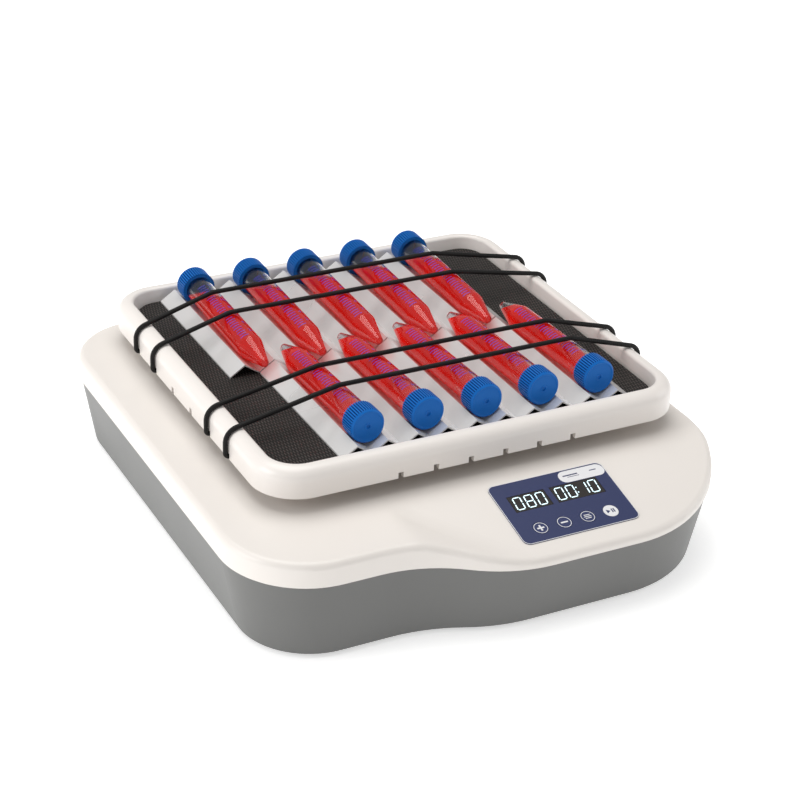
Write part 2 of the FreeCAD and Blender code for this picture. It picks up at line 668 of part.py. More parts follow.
def chassis():
    """Steel plate on six posts; it carries the cranks and the motor."""
    posts, bores = [], []
    for k, (x, y) in enumerate(POSTS):
        post = rod(f"post_{k}", 4.5, f"plate_bottom - {FLOOR}", x, y, FLOOR)
        bore = rod(f"post_bore_{k}", "screw_radius + screw_gap", 12, x, y, "plate_bottom - 10")
        posts.append(cut(f"post_cut_{k}", post, [bore]))
    node(group("posts", posts), "chassis_posts")
    body = body_of("chassis")
    plan = sketch_on(body, "XY_Plane", "chassis_plan", "plate_bottom")
    rounded_rectangle(plan, "plate_width", "plate_depth", "14", y="plate_y")
    for x, y in CRANKS:
        circle(plan, x, y, "shaft_radius + 3")
        for hx, hy in flange_places(x, y):
            circle(plan, hx, hy, "screw_radius + screw_gap")
    circle(plan, "motor_x", "drive_y", "motor_radius / 2")
    for x, y in MOTOR_SCREWS + POSTS:
        circle(plan, x, y, "screw_radius + screw_gap")
    pad(body, plan, "plate_thickness", "chassis_pad")
    node(body, "chassis_plate")
    screws("plate_screws", POSTS, "(plate_bottom - 8)", "(8 + plate_thickness)", head_below=False)


def flange_places(x, y):
    """Three screw places on a bearing housing's foot."""
    reach = "((housing_radius + housing_flange) / 2)"
    return [(f"({x} + {reach} * cos({turn}))", f"({y} + {reach} * sin({turn}))")
            for turn in (90, 210, 330)]


MOTOR_SCREWS = [(f"(motor_x + 15 * cos({turn}))", f"(drive_y + 15 * sin({turn}))")
                for turn in (45, 135, 225, 315)]


def bearing(name, x, y, z):
    ring = rod(name + "_ring", "bearing_radius", "bearing_width", x, y, z)
    return cut(name, ring, [rod(name + "_bore", "bearing_bore", "bearing_width", x, y, z)])


def housing(name, x, y):
    """A flanged housing with a seat for a bearing at each end."""
    foot = rod(name + "_foot", "housing_flange", 3, x, y, PLATE_TOP)
    wall = rod(name + "_wall", "housing_radius", "housing_height", x, y, PLATE_TOP)
    tools = [
        rod(name + "_throat", "bearing_radius - 2", "housing_height", x, y, PLATE_TOP),
        rod(name + "_seat_low", "bearing_radius + 0.02", "bearing_width + 1", x, y, PLATE_TOP),
        rod(name + "_seat_high", "bearing_radius + 0.02", "bearing_width", x, y,
            f"{HOUSING_TOP} - bearing_width"),
    ]
    tools += [rod(f"{name}_hole_{k}", "screw_radius + screw_gap", 4, hx, hy, PLATE_TOP)
              for k, (hx, hy) in enumerate(flange_places(x, y))]
    return cut(name, join(name + "_solid", [foot, wall]), tools)


def bearings_in_base():
    """Housings and ball bearings of the drive crank and the three idlers."""
    pairs = []
    for k, (x, y) in enumerate(CRANKS):
        pairs.append([bearing(f"bearing_low_{k}", x, y, f"({PLATE_TOP} + 1)"),
                      bearing(f"bearing_high_{k}", x, y, f"({HOUSING_TOP} - bearing_width)")])
    node(housing("drive_housing", *CRANKS[0]), "drive_bearing_housing")
    node(group("drive_pair", pairs[0]), "drive_bearings")
    idle = [housing(f"idler_housing_{k}", x, y) for k, (x, y) in enumerate(IDLERS)]
    node(group("idle_housings", idle), "idler_bearing_housings")
    node(group("idle_pairs", pairs[1] + pairs[2] + pairs[3]), "idler_bearings")
    places = [spot for x, y in CRANKS for spot in flange_places(x, y)]
    screws("housing_screws", places, "(plate_bottom - 1)", "(plate_thickness + 4)",
           head_below=False)


def motor():
    can = rod("motor_can", "motor_radius", "motor_height", "motor_x", "drive_y", PLATE_TOP)
    pilot = rod("motor_pilot", "motor_radius / 2 - 0.3", 2, "motor_x", "drive_y",
                f"({PLATE_TOP} - 2)")
    bores = [rod("motor_bore", "motor_shaft_radius + 0.05", 10, "motor_x", "drive_y",
                 f"({PLATE_TOP} - 3)")]
    bores += [rod(f"motor_tap_{k}", "screw_radius + screw_gap", 6, x, y, PLATE_TOP)
              for k, (x, y) in enumerate(MOTOR_SCREWS)]
    node(cut("motor", join("motor_solid", [can, pilot]), bores), "motor_body")
    screws("motor_screws", MOTOR_SCREWS, "plate_bottom", "(plate_thickness + 5)")
    node(rod("rotor_shaft", "motor_shaft_radius", f"{PLATE_TOP} - pulley_bottom + 6",
             "motor_x", "drive_y", "pulley_bottom"), "motor_shaft")


def pulley(name, x, radius, bore):
    """A flat pulley: belt seat between two rims, with a bore for its shaft."""
    seat = rod(name + "_seat", radius, "pulley_width", x, "drive_y", "pulley_bottom")
    rims = [rod(f"{name}_rim_{k}", f"{radius} + flange_rise", "pulley_flange", x, "drive_y", z)
            for k, z in enumerate(("pulley_bottom", "pulley_bottom + pulley_width - pulley_flange"))]
    hole = rod(name + "_bore", bore, "pulley_width", x, "drive_y", "pulley_bottom")
    return cut(name, join(name + "_solid", [seat] + rims), [hole])


def belt():
    """A flat belt that runs round both pulleys."""
    body = body_of("belt")
    plan = sketch_on(body, "XY_Plane", "belt_plan", "pulley_bottom + pulley_flange + belt_gap")
    for extra in ("belt_gap", "belt_gap + belt_thickness"):
        big, small = f"(drive_pulley_radius + {extra})", f"(motor_pulley_radius + {extra})"
        a, b, gap, y = value(big), value(small), -value("motor_x"), value("drive_y")
        lean = math.degrees(math.acos((a - b) / gap))
        points = [(r * math.cos(math.radians(180 - lean)) + x, r * math.sin(math.radians(lean)))
                  for r, x in ((a, 0), (b, -gap))]
        (x0, rise0), (x1, rise1) = points
        numbers = trace(plan, [
            arc(0, y, a, lean - 180, 180 - lean),
            line(x0, y + rise0, x1, y + rise1),
            arc(-gap, y, b, 180 - lean, 180 + lean),
            line(x1, y - rise1, x0, y - rise0),
        ])
        fix(plan, "Radius", numbers[0], size=big)
        fix(plan, "Radius", numbers[2], size=small)
        for number, x in ((numbers[0], "0"), (numbers[2], "motor_x")):
            fix(plan, "DistanceX", -1, 1, number, 3, size=x)
            fix(plan, "DistanceY", -1, 1, number, 3, size="drive_y")
    pad(body, plan, "pulley_width - 2 * pulley_flange - 2 * belt_gap", "belt_pad")
    node(body, "drive_belt")


def power_board():
    """Supply board on four posts, with its larger parts."""
    x, y = POWER_BOARD
    top = f"({FLOOR} + 8 + board_thickness)"
    board = block("power_pcb", 64, 42, "board_thickness", x, y, f"{FLOOR} + 8")
    parts = [
        block("power_coil", 20, 18, 16, f"({x} + 8)", y, top),
        rod("power_capacitor", 6, 20, f"({x} - 16)", f"({y} + 6)", top),
        block("power_sink", 4, 26, 14, f"({x} + 26)", y, top),
        block("power_plug", 14, 6, 7, f"({x} - 12)", f"({y} - 13)", top),
    ]
    holes = [rod(f"power_hole_{k}", "screw_radius + screw_gap", 4, hx, hy, f"({FLOOR} + 7)")
             for k, (hx, hy) in enumerate(POWER_POSTS)]
    node(cut("power", join("power_solid", [board] + parts), holes), "power_board")
    screws("power_board_screws", POWER_POSTS, f"({FLOOR} + 2.5)", "(5.5 + board_thickness)",
           head_below=False)


def rear_connections():
    """Low-voltage inlet and the rocker switch's frame, on the flat at the back."""
    face = REAR_FACE
    barrel = rod("inlet_barrel", "inlet_radius", 14, "inlet_x", f"({face} - 13)", "rear_panel_z",
                 roll=-90)
    rim = rod("inlet_rim", "inlet_radius + 1.8", 1, "inlet_x", face, "rear_panel_z", roll=-90)
    socket = rod("inlet_socket", 3.2, 11, "inlet_x", f"({face} - 9.5)", "rear_panel_z", roll=-90)
    pin = rod("inlet_pin", 1, 11, "inlet_x", f"({face} - 10)", "rear_panel_z", roll=-90)
    jack = cut("inlet_hollow", join("inlet_solid", [barrel, rim]), [socket])
    node(join("inlet", [jack, pin]), "power_inlet")
    nut = rod("nut_blank", "inlet_radius + 2.5", 2, "inlet_x", f"({face} - casing_wall - 2)",
              "rear_panel_z", roll=-90)
    nut_bore = rod("nut_bore", "inlet_radius + 0.05", 4, "inlet_x",
                   f"({face} - casing_wall - 3)", "rear_panel_z", roll=-90)
    node(cut("nut_cut", nut, [nut_bore]), "inlet_nut")
    z = "rear_panel_z"
    sleeve = block("switch_sleeve", "rocker_width", 14, "rocker_length", "rocker_x",
                   f"({face} - 7)", f"{z} - rocker_length / 2")
    bezel = block("switch_bezel", "rocker_width + 4", 1.5, "rocker_length + 4", "rocker_x",
                  f"({face} + 0.75)", f"{z} - (rocker_length + 4) / 2")
    well = block("switch_well", "rocker_width - 2", 12, "rocker_length - 2", "rocker_x",
                 f"({face} - 3)", f"{z} - (rocker_length - 2) / 2")
    node(cut("switch", join("switch_solid", [sleeve, bezel]), [well]), "switch_frame")
    body = body_of("rocker_body")
    side_view = sketch_on(body, "YZ_Plane", "rocker_view")
    polygon(side_view, [
        ("rocker_proud", 0), ("rocker_proud", "-rocker_reach"), (-5, -4), (-5, 4),
        ("rocker_proud + rocker_reach * sin(rocker_swing)", "rocker_reach * cos(rocker_swing)")])
    tilting = pad(body, side_view, "rocker_width - 2.6", "rocker_pad")
    tilting.Midplane = True
    node(place(body, "rocker_x", ROCKER_Y, z), "power_rocker")


# ---------------------------------------------------------------- control panel
def control_panel():
    """Overlay, displays, keys, switches and board, made in panel coordinates."""
    body = body_of("overlay")
    plan = sketch_on(body, "XY_Plane", "overlay_plan")
    rounded_rectangle(plan, "panel_width", "panel_depth", "panel_corner", "panel_x",
                      "(panel_foot + panel_depth / 2)")
    keys = [(f"(panel_x + key_x + {k} * key_pitch)", "(panel_foot + key_v)") for k in range(4)]
    for u, v in keys:
        circle(plan, u, v, "key_radius + key_gap")
    windows = [("rpm", "(panel_x + rpm_x)", "rpm_window"), ("time", "(panel_x + time_x)", "time_window")]
    row = "(panel_foot + window_v)"
    for _, u, width in windows:
        polygon(plan, [(f"{u} + {sx} * {width} / 2", f"{row} + {sy} * window_height / 2")
                       for sx, sy in ((-1, -1), (1, -1), (1, 1), (-1, 1))])
    pad(body, plan, "overlay_thickness", "overlay_pad")
    node(on_panel(body), "panel_overlay")
    board_top = BOARD_TOP
    for name, u, width in windows:
        face = block(name + "_face", f"{width} - 2 * display_gap", "window_height - 2 * display_gap",
                     f"(overlay_thickness - 0.1 - {board_top})", u, row, board_top)
        node(on_panel(group(name + "_module", [face])), name + "_display")
    names = ("key_plus", "key_minus", "key_mode", "key_start")
    for name, (u, v) in zip(names, keys):
        head = rod(name + "_head", "key_radius", "key_skirt", u, v, "overlay_thickness - key_skirt")
        stem = rod(name + "_stem", "stem_radius", "stem_length", u, v,
                   "overlay_thickness - key_skirt - stem_length")
        node(on_panel(join(name + "_solid", [head, stem])), name)
    bodies = []
    for k, (u, v) in enumerate(keys):
        case = block(f"switch_case_{k}", "switch_size", "switch_size", "switch_height", u, v, board_top)
        well = rod(f"switch_bore_{k}", "stem_radius + 0.4", "switch_height - 1", u, v,
                   f"{board_top} + 1")
        bodies.append(cut(f"switch_{k}", case, [well]))
    node(on_panel(group("switches", bodies)), "key_switches")
    board_low = f"({board_top} - board_thickness)"
    board = block("control_pcb", "control_board_width", "control_board_depth", "board_thickness",
                  "panel_x", PANEL_MIDDLE, board_low)
    chip = block("control_chip", 12, 12, 1.6, "(panel_x + 24)", PANEL_MIDDLE, f"{board_low} - 1.6")
    holes = [rod(f"control_hole_{k}", BOARD_TAP, 4, u, v, f"{board_low} - 1")
             for k, (u, v) in enumerate(BOARD_HOLES)]
    node(on_panel(cut("control", join("control_solid", [board, chip]), holes)), "control_board")
    on_panel(screws("control_board_screws", BOARD_HOLES, board_low, "(board_thickness + 3.5)",
                    radius="(2 * screw_radius / 3)"))


# ---------------------------------------------------------------- moving drive
def crank(name, x, y, pin_radius, radius):
    """Shaft, disc and offset pin, turned from one piece."""
    shaft = rod(name + "_shaft", "shaft_radius", f"{CRANK_BOTTOM} - plate_bottom + 1", x, y,
                "plate_bottom - 1")
    collar = rod(name + "_collar", "shaft_radius + 2", "crank_lift - 0.3", x, y,
                 f"{HOUSING_TOP} + 0.3")
    disc = rod(name + "_disc", radius, "crank_thickness", x, y, CRANK_BOTTOM)
    pin = rod(name + "_pin", pin_radius, f"{CARRIER_BOTTOM} - 1 - {CRANK_TOP}", f"({x} + {ORBIT_X})",
              f"({y} + {ORBIT_Y})", CRANK_TOP)
    return [shaft, collar, disc, pin]


def drive():
    pieces = crank("drive_crank", *CRANKS[0], "shaft_radius", "crank_radius")
    tail = rod("drive_tail", "shaft_radius", "plate_bottom - pulley_bottom", 0, "drive_y",
               "pulley_bottom")
    node(join("drive_crank_solid", pieces + [tail]), "drive_crank")
    node(pulley("drive_wheel", "0", "drive_pulley_radius", "shaft_radius + 0.05"), "drive_pulley")
    node(pulley("motor_wheel", "motor_x", "motor_pulley_radius", "motor_shaft_radius + 0.05"),
         "motor_pulley")
    sector = bound("Part::Cylinder", "weight_sector", Radius="weight_radius",
                   Height="weight_thickness")
    sector.Angle = 150
    place(sector, 0, "drive_y", f"{CRANK_TOP} - weight_thickness", yaw="orbit_angle + 180 - 75")
    core = rod("weight_core", "crank_radius + 0.05", "weight_thickness", 0, "drive_y",
               f"{CRANK_TOP} - weight_thickness")
    node(cut("weight", sector, [core]), "counterweight")
    for k, (x, y) in enumerate(IDLERS, start=1):
        pieces = crank(f"idler_{k}", x, y, "shaft_radius - pin_slack", "(crank_radius - 2)")
        node(join(f"idler_solid_{k}", pieces), f"idler_crank_{k}")


# ---------------------------------------------------------------- platform
def tray():
    """Moulded tray with a rolled rim and notches for the cords."""
    body = body_of("tray_body")
    plan = sketch_on(body, "XY_Plane", "tray_plan", TRAY_BOTTOM)
    rounded_rectangle(plan, "tray_width", "tray_depth", "tray_corner")
    block_feature = pad(body, plan, "tray_height", "tray_pad")
    outer = rounded(body, block_feature, at_height(CREST), "rim_round", "tray_rim")
    basin_plan = sketch_on(body, "XY_Plane", "basin_plan", TRAY_FLOOR)
    rounded_rectangle(basin_plan, "(tray_width - 2 * rim_width)", "(tray_depth - 2 * rim_width)",
                      "(tray_corner - rim_width)")
    basin = pocket(body, basin_plan, "basin", "tray_floor_drop", upward=True)
    basin.TaperAngle = value("rim_taper")
    basin.setExpression("TaperAngle", linked("rim_taper"))
    lip = rounded(body, basin, at_height(CREST), "rim_inner_round", "basin_lip")
    under_plan = sketch_on(body, "XY_Plane", "under_plan", TRAY_BOTTOM)
    under = "(tray_width - 2 * tray_wall)", "(tray_depth - 2 * tray_wall)", "(tray_corner - tray_wall)"
    rounded_rectangle(under_plan, *under)
    pocket(body, under_plan, "tray_under", f"{CARRIER_TOP} - {TRAY_BOTTOM}", upward=True)
    ring_plan = sketch_on(body, "XY_Plane", "ring_plan", CARRIER_TOP)
    rounded_rectangle(ring_plan, *under)
    rounded_rectangle(ring_plan, "(tray_width - 2 * rim_width + 2 * tray_wall)",
                      "(tray_depth - 2 * rim_width + 2 * tray_wall)",
                      "(tray_corner - rim_width + tray_wall)")
    pocket(body, ring_plan, "rim_hollow", f"{CREST} - rim_round - 1 - {CARRIER_TOP}", upward=True)
    side = sketch_on(body, "YZ_Plane", "side_notch")
    notch_box(side, "(-2.5 * side_notch_pitch)")
    side_cut = pocket(body, side, "side_notches", both_ways=True)
    repeat(body, [side_cut], side, "H_Axis", 6, "side_notch_pitch", "side_notch_row")
    front = sketch_on(body, "XZ_Plane", "front_notch")
    notch_box(front, "(-2.5 * front_notch_pitch)")
    front_cut = pocket(body, front, "front_notches", both_ways=True)
    repeat(body, [front_cut], front, "H_Axis", 6, "front_notch_pitch", "front_notch_row")
    holes = sketch_on(body, "XY_Plane", "tray_screw_plan", CARRIER_TOP)
    for x, y in TRAY_SCREWS:
        circle(holes, x, y, "screw_radius + screw_gap")
    pocket(body, holes, "tray_screw_holes", "tray_wall - 0.6", upward=True)
    node(place(body, TRAY_X, TRAY_Y, 0), "tray")


def notch_box(sketch, middle):
    polygon(sketch, [(f"{middle} + {sx} * notch_width / 2", z) for sx, z in (
        (-1, f"{TRAY_BOTTOM} - 1"), (1, f"{TRAY_BOTTOM} - 1"),
        (1, f"{TRAY_BOTTOM} + notch_height"), (-1, f"{TRAY_BOTTOM} + notch_height"))])


CARRIER_Y = "12"
TRAY_SCREWS = [(f"({sx} * (carrier_width / 2 - 8))", CARRIER_Y) for sx in (-1, 1)]
TRAY_SCREWS += [(f"({sx * 45})", f"({CARRIER_Y} + {sy} * (carrier_depth / 2 - 8))")
                for sx in (-1, 1) for sy in (-1, 1)]


def carrier():
    """Aluminium plate under the tray, with a bearing hub over every crank."""
    body = body_of("carrier_body")
    plan = sketch_on(body, "XY_Plane", "carrier_plan", CARRIER_BOTTOM)
    rounded_rectangle(plan, "carrier_width", "carrier_depth", "20", y=CARRIER_Y)
    for x, y in TRAY_SCREWS:
        circle(plan, x, y, "screw_radius + screw_gap")
    pad(body, plan, "carrier_thickness", "carrier_pad")
    solids, seats, balls = [body], [], []
    for k, (x, y) in enumerate(CRANKS):
        y = f"({y} - drive_y)"
        solids.append(rod(f"hub_{k}", "hub_radius", "hub_height", x, y,
                          f"{CARRIER_BOTTOM} - hub_height"))
        seats.append(rod(f"hub_seat_{k}", "bearing_radius + 0.02", "hub_height - 1", x, y,
                         f"{CARRIER_BOTTOM} - hub_height"))
        balls.append(bearing(f"carrier_bearing_{k}", x, y, f"({CARRIER_BOTTOM} - 1 - bearing_width)"))
    plate = cut("carrier", join("carrier_solid", solids), seats)
    node(place(plate, TRAY_X, TRAY_Y, 0), "carrier_plate")
    node(place(group("carrier_balls", balls), TRAY_X, TRAY_Y, 0), "carrier_bearings")
    places = [(f"({x} + {TRAY_X})", f"({y} + {TRAY_Y})") for x, y in TRAY_SCREWS]
    screws("tray_screws", places, CARRIER_BOTTOM, "(carrier_thickness + tray_wall - 0.8)")


def mat():
    body = body_of("mat_body")
    plan = sketch_on(body, "XY_Plane", "mat_plan", TRAY_FLOOR)
    rounded_rectangle(plan, "(tray_width - 2 * rim_width - 2 * mat_gap)",
                      "(tray_depth - 2 * rim_width - 2 * mat_gap)",
                      "(tray_corner - rim_width - mat_gap)")
    sheet_pad = pad(body, plan, "mat_thickness", "mat_pad")
    rounded(body, sheet_pad, at_height(MAT_TOP), "mat_bevel", "mat_edge", "PartDesign::Chamfer")
    node(place(body, TRAY_X, TRAY_Y, 0), "platform_mat")


def rack(name, label, yaw):
    """A sheet folded into ten ridges; the rear one is the same sheet turned round."""
    body = body_of(name)
    fold = sketch_on(body, "XZ_Plane", name + "_fold", "rack_gap")
    left = "(-4.5 * groove_pitch)"
    low, top = MAT_TOP, VALLEY_TOP
    polygon(fold, [
        (left, low), (f"{left} + groove_pitch / 2", f"{low} + groove_rise"),
        (f"{left} + groove_pitch", low), (f"{left} + groove_pitch", top),
        (f"{left} + groove_pitch / 2", f"{top} + groove_rise"), (left, top)])
    ridge = pad(body, fold, "rack_length", name + "_ridge")
    repeat(body, [ridge], fold, "H_Axis", 10, "groove_pitch", name + "_ridges")
    node(place(body, TRAY_X, TRAY_Y, 0, yaw=yaw), label)


CAP_SEAT = f"({VALLEY_TOP} + (cap_radius + seat_gap) / {FOLD_COS})"
TUBE_SEAT = f"({VALLEY_TOP} + (tube_radius + seat_gap) / {FOLD_COS})"
SEAT_SPAN = "(tube_length - tube_cone - cap_height)"
TUBE_TILT = f"atan(({CAP_SEAT} - {TUBE_SEAT}) / {SEAT_SPAN})"
FACE_Z = f"({CAP_SEAT} + cap_height * tan({TUBE_TILT}))"


def place_row(body, rear):
    """Lay a row made along its own +Y axis in the grooves, its caps outward."""
    if rear:
        x, y, yaw = f"({TRAY_X} + 3.5 * groove_pitch)", f"({TRAY_Y} + cap_face_y)", 180
    else:
        x, y, yaw = f"({TRAY_X} - 3.5 * groove_pitch)", f"({TRAY_Y} - cap_face_y)", 0
    return place(body, x, y, FACE_Z, yaw=yaw, roll=f"-{TUBE_TILT}")


def tube_rows():
    """Five tubes, caps and samples in each rack."""
    mouth = "(cap_top + 0.2)"
    shoulder = "(tube_length - tube_cone)"
    bore = "(tube_radius - tube_wall)"
    inner_tip, inner_end = "(tip_radius - tube_wall)", "(tube_length - 1.5 * tube_wall)"
    tube = [(bore, mouth), ("tube_radius", mouth), ("tube_radius", shoulder),
            ("tip_radius", "tube_length"), (0, "tube_length"), (0, inner_end),
            (inner_tip, inner_end), (bore, shoulder)]
    cap = [(0, 0), ("cap_radius", 0), ("cap_radius", "cap_height"),
           ("tube_radius + fill_gap", "cap_height"), ("tube_radius + fill_gap", "cap_top"),
           (0, "cap_top")]
    filled = f"({bore} - fill_gap)"
    sample = [(0, "fill_start"), (filled, "fill_start"), (filled, f"{shoulder} - fill_gap"),
              (f"{inner_tip} - fill_gap", f"{inner_end} - 2 * fill_gap"),
              (0, f"{inner_end} - 2 * fill_gap")]
    for row, rear in (("front", False), ("rear", True)):
        for label, outline in (("tubes", tube), ("caps", cap), ("samples", sample)):
            body = body_of(f"{label}_{row}_body")
            view = sketch_on(body, "XY_Plane", f"{label}_{row}_view")
            polygon(view, outline)
            features = [turned(body, view, "V_Axis", f"{label}_{row}_turned")]
            if label == "samples":
                air = sketch_on(body, "YZ_Plane", f"air_{row}_view")
                polygon(air, [("fill_start - 1", "fill_level"), ("fill_start - 1", "tube_radius * 2"),
                              ("fill_start + fill_reach", "tube_radius * 2"),
                              ("fill_start + fill_reach", "tube_radius")])
                features.append(pocket(body, air, f"air_{row}", "tube_radius * 3", both_ways=True))
            repeat(body, features, view, "H_Axis", 5, "2 * groove_pitch", f"{label}_{row}_row")
            node(place_row(body, rear), f"{label}_{row}")


def taut_wire(circles, start, end):
    """Straight runs and arcs of a cord pulled tight over circles, in the XZ plane.

    Each circle is (x, z, radius, side): side 1 is passed clockwise over its top, -1 under it.
    """
    stops = [(start[0], start[1], 0, 1)] + circles + [(end[0], end[1], 0, 1)]
    runs = []
    for (x0, z0, r0, s0), (x1, z1, r1, s1) in zip(stops, stops[1:]):
        dx, dz = x1 - x0, z1 - z0
        span = math.hypot(dx, dz)
        heading = math.atan2(dz, dx) + math.asin((s1 * r1 - s0 * r0) / span)
        nx, nz = -math.sin(heading), math.cos(heading)
        runs.append((Vector(x0 + s0 * r0 * nx, 0, z0 + s0 * r0 * nz),
                     Vector(x1 + s1 * r1 * nx, 0, z1 + s1 * r1 * nz)))
    edges = []
    for k, (begin, finish) in enumerate(runs):
        if k:
            x, z, radius, side = circles[k - 1]
            before = runs[k - 1]
            first = (before[1] - before[0]).normalize()
            second = (finish - begin).normalize()
            bend = first + second
            normal = Vector(-bend.z, 0, bend.x).normalize() * radius * side
            edges.append(Part.Arc(before[1], Vector(x, 0, z) + normal, begin).toShape())
        edges.append(Part.LineSegment(begin, finish).toShape())
    return Part.Wire(edges)


def cords():
    """Four elastic cords pulled tight over the rim and the tubes, a bead at each end."""
    half, radius = value("tray_width / 2"), value("cord_radius")
    off = radius + value("cord_gap")
    rim_x, rim_z = half - value("rim_round"), value(f"{CREST} - rim_round")
    bend = value("cord_bend")
    wall_x = half + off
    low_z = value(f"{TRAY_BOTTOM} + notch_height - cord_bend + seat_gap")
    bead_x = half - value("tray_wall") - 0.4 - value("bead_length") / 2
    for k, (step, rear) in enumerate(((0, False), (1, False), (4, True), (5, True)), start=1):
        y = (step - 2.5) * value("side_notch_pitch")
        along = value("cap_face_y") - abs(y)
        tilt = math.radians(value(TUBE_TILT))
        tube_z = value(FACE_Z) - along * math.tan(tilt)
        over = (value("tube_radius") + off) / math.cos(tilt)
        reach = 3.5 * value("groove_pitch"), 4.5 * value("groove_pitch")
        left, right = (reach[1], reach[0]) if rear else reach
        circles = [
            (-wall_x + bend, low_z + bend, bend, 1), (-rim_x, rim_z, value("rim_round") + off, 1),
            (-left, tube_z, over, 1), (right, tube_z, over, 1),
            (rim_x, rim_z, value("rim_round") + off, 1), (wall_x - bend, low_z + bend, bend, 1)]
        path = taut_wire(circles, (-bead_x, low_z), (bead_x, low_z))
        tube = path.makePipeShell([Part.Wire(Part.Circle(Vector(-bead_x, 0, low_z), Vector(1, 0, 0),
                                                         radius).toShape())], True, True)
        expected = math.pi * radius ** 2 * path.Length
        print(f"cord {k}: length {path.Length:.1f} mm, volume {tube.Volume / expected:.4f} of expected,"
              f" smallest bend {bend} mm")
        beads = [Part.makeCylinder(value("bead_radius"), value("bead_length"),
                                   Vector(x, 0, low_z), Vector(1, 0, 0))
                 for x in (-bead_x - value("bead_length") / 2, bead_x - value("bead_length") / 2)]
        item = doc.addObject("Part::Feature", f"cord_{k}")
        item.Shape = tube.fuse(beads).removeSplitter()
        item.Placement = FreeCAD.Placement(
            Vector(value(TRAY_X), value(TRAY_Y) + y, 0), FreeCAD.Rotation())
        node(item, f"elastic_cord_{k}")


# ---------------------------------------------------------------- build
casing()
cover()
feet()
screws("cover_screws", CASING_COLUMNS, "column_well", "(parting_height - column_well + 3)")
chassis()
bearings_in_base()
motor()
belt()
power_board()
rear_connections()
control_panel()
drive()
tray()
carrier()
mat()
rack("front_rack", "tube_rack_front", 0)
rack("rear_rack", "tube_rack_rear", 180)
tube_rows()
cords()

doc.recompute()
for item in doc.Objects:
    if {"Invalid", "Error"} & set(item.State):
        raise RuntimeError(f"{item.Name} failed: {item.State}")
for item in nodes:
    if item.Shape.isNull() or not item.Shape.isValid():
        raise RuntimeError(f"{item.Label} has no valid shape")

os.makedirs("parts", exist_ok=True)
for item in nodes:
    item.Shape.exportStep(f"parts/{item.Label}.step")
print(f"{len(nodes)} sub-parts written")
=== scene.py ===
# %% [markdown]
# # A bench-top orbital shaker with ten sample tubes
# The machine has a wide base with a sloping control panel and a tray that moves in
# a small circle. Two folded racks on the tray hold ten 15 mL tubes under
# four elastic cords. The drawn model already gives every part its place, so this
# lesson gives each part its finish and builds the parts whose detail is too fine
# for the drawing: caps, tubes, samples, printed marks, digits and key symbols.

# %% Load the drawn model
import math

import bmesh
import bpy
from mathutils import Matrix, Vector


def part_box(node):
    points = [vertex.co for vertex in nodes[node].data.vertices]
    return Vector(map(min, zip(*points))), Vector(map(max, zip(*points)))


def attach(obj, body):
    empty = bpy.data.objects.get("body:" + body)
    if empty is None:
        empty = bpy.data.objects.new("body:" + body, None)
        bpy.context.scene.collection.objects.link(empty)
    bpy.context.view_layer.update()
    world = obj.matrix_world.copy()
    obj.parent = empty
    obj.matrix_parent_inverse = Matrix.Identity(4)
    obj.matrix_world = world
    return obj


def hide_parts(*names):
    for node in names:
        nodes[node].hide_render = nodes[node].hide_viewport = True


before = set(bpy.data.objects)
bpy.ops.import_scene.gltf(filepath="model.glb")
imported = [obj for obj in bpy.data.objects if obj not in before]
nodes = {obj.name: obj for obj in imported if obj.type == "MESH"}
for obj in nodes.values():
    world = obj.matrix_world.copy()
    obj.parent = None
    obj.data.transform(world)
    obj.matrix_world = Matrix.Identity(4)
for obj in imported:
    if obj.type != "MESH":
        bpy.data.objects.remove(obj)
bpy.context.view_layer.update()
MM = 0.001

# %% [markdown]
# ## Camera
# A product picture is taken with a long lens from the front left, above the tray.
# The long lens keeps the sides of the base almost parallel. The camera is placed by
# its turn round the object, its height above the horizon and a slight roll.

# %% Camera
CAMERA_TURN = math.radians(-28.05)
CAMERA_HEIGHT = math.radians(28.23)
CAMERA_ROLL = math.radians(2.30)
CAMERA_PLACE = (-0.5336, -1.0055, 0.6761)
LENS_LENGTH, SENSOR = 93.43, 36
NEAREST, FARTHEST = 0.05, 30

lens = bpy.data.cameras.new("camera")
lens.lens, lens.sensor_width = LENS_LENGTH, SENSOR
lens.clip_start, lens.clip_end = NEAREST, FARTHEST
camera = bpy.data.objects.new("camera", lens)
bpy.context.collection.objects.link(camera)
back = Vector((math.sin(CAMERA_TURN) * math.cos(CAMERA_HEIGHT),
               -math.cos(CAMERA_TURN) * math.cos(CAMERA_HEIGHT), math.sin(CAMERA_HEIGHT)))
level = (-back).cross(Vector((0, 0, 1))).normalized()
above = level.cross(-back)
right = level * math.cos(CAMERA_ROLL) + above * math.sin(CAMERA_ROLL)
upward = above * math.cos(CAMERA_ROLL) - level * math.sin(CAMERA_ROLL)
turned = Matrix((right, upward, back)).transposed().to_4x4()
camera.matrix_world = Matrix.Translation(CAMERA_PLACE) @ turned
bpy.context.scene.camera = camera
print("camera at", [round(c, 3) for c in camera.location], "lens", lens.lens)

# %% [markdown]
# ## Building shaders
# A shader is a small chain of nodes. One helper adds a node, sets its options and
# joins its inputs, so each chain reads as a list. A second helper starts a node
# group with named inputs and outputs, because most finishes share a few effects.

# %% Helpers for nodes
def add(tree, kind, sockets=None, **options):
    """One shader node: options are its own settings, sockets hold values or links."""
    node = tree.nodes.new(kind)
    for key, option in options.items():
        setattr(node, key, option)
    for key, source in (sockets or {}).items():
        if isinstance(source, bpy.types.NodeSocket):
            tree.links.new(source, node.inputs[key])
        else:
            node.inputs[key].default_value = source
    return node


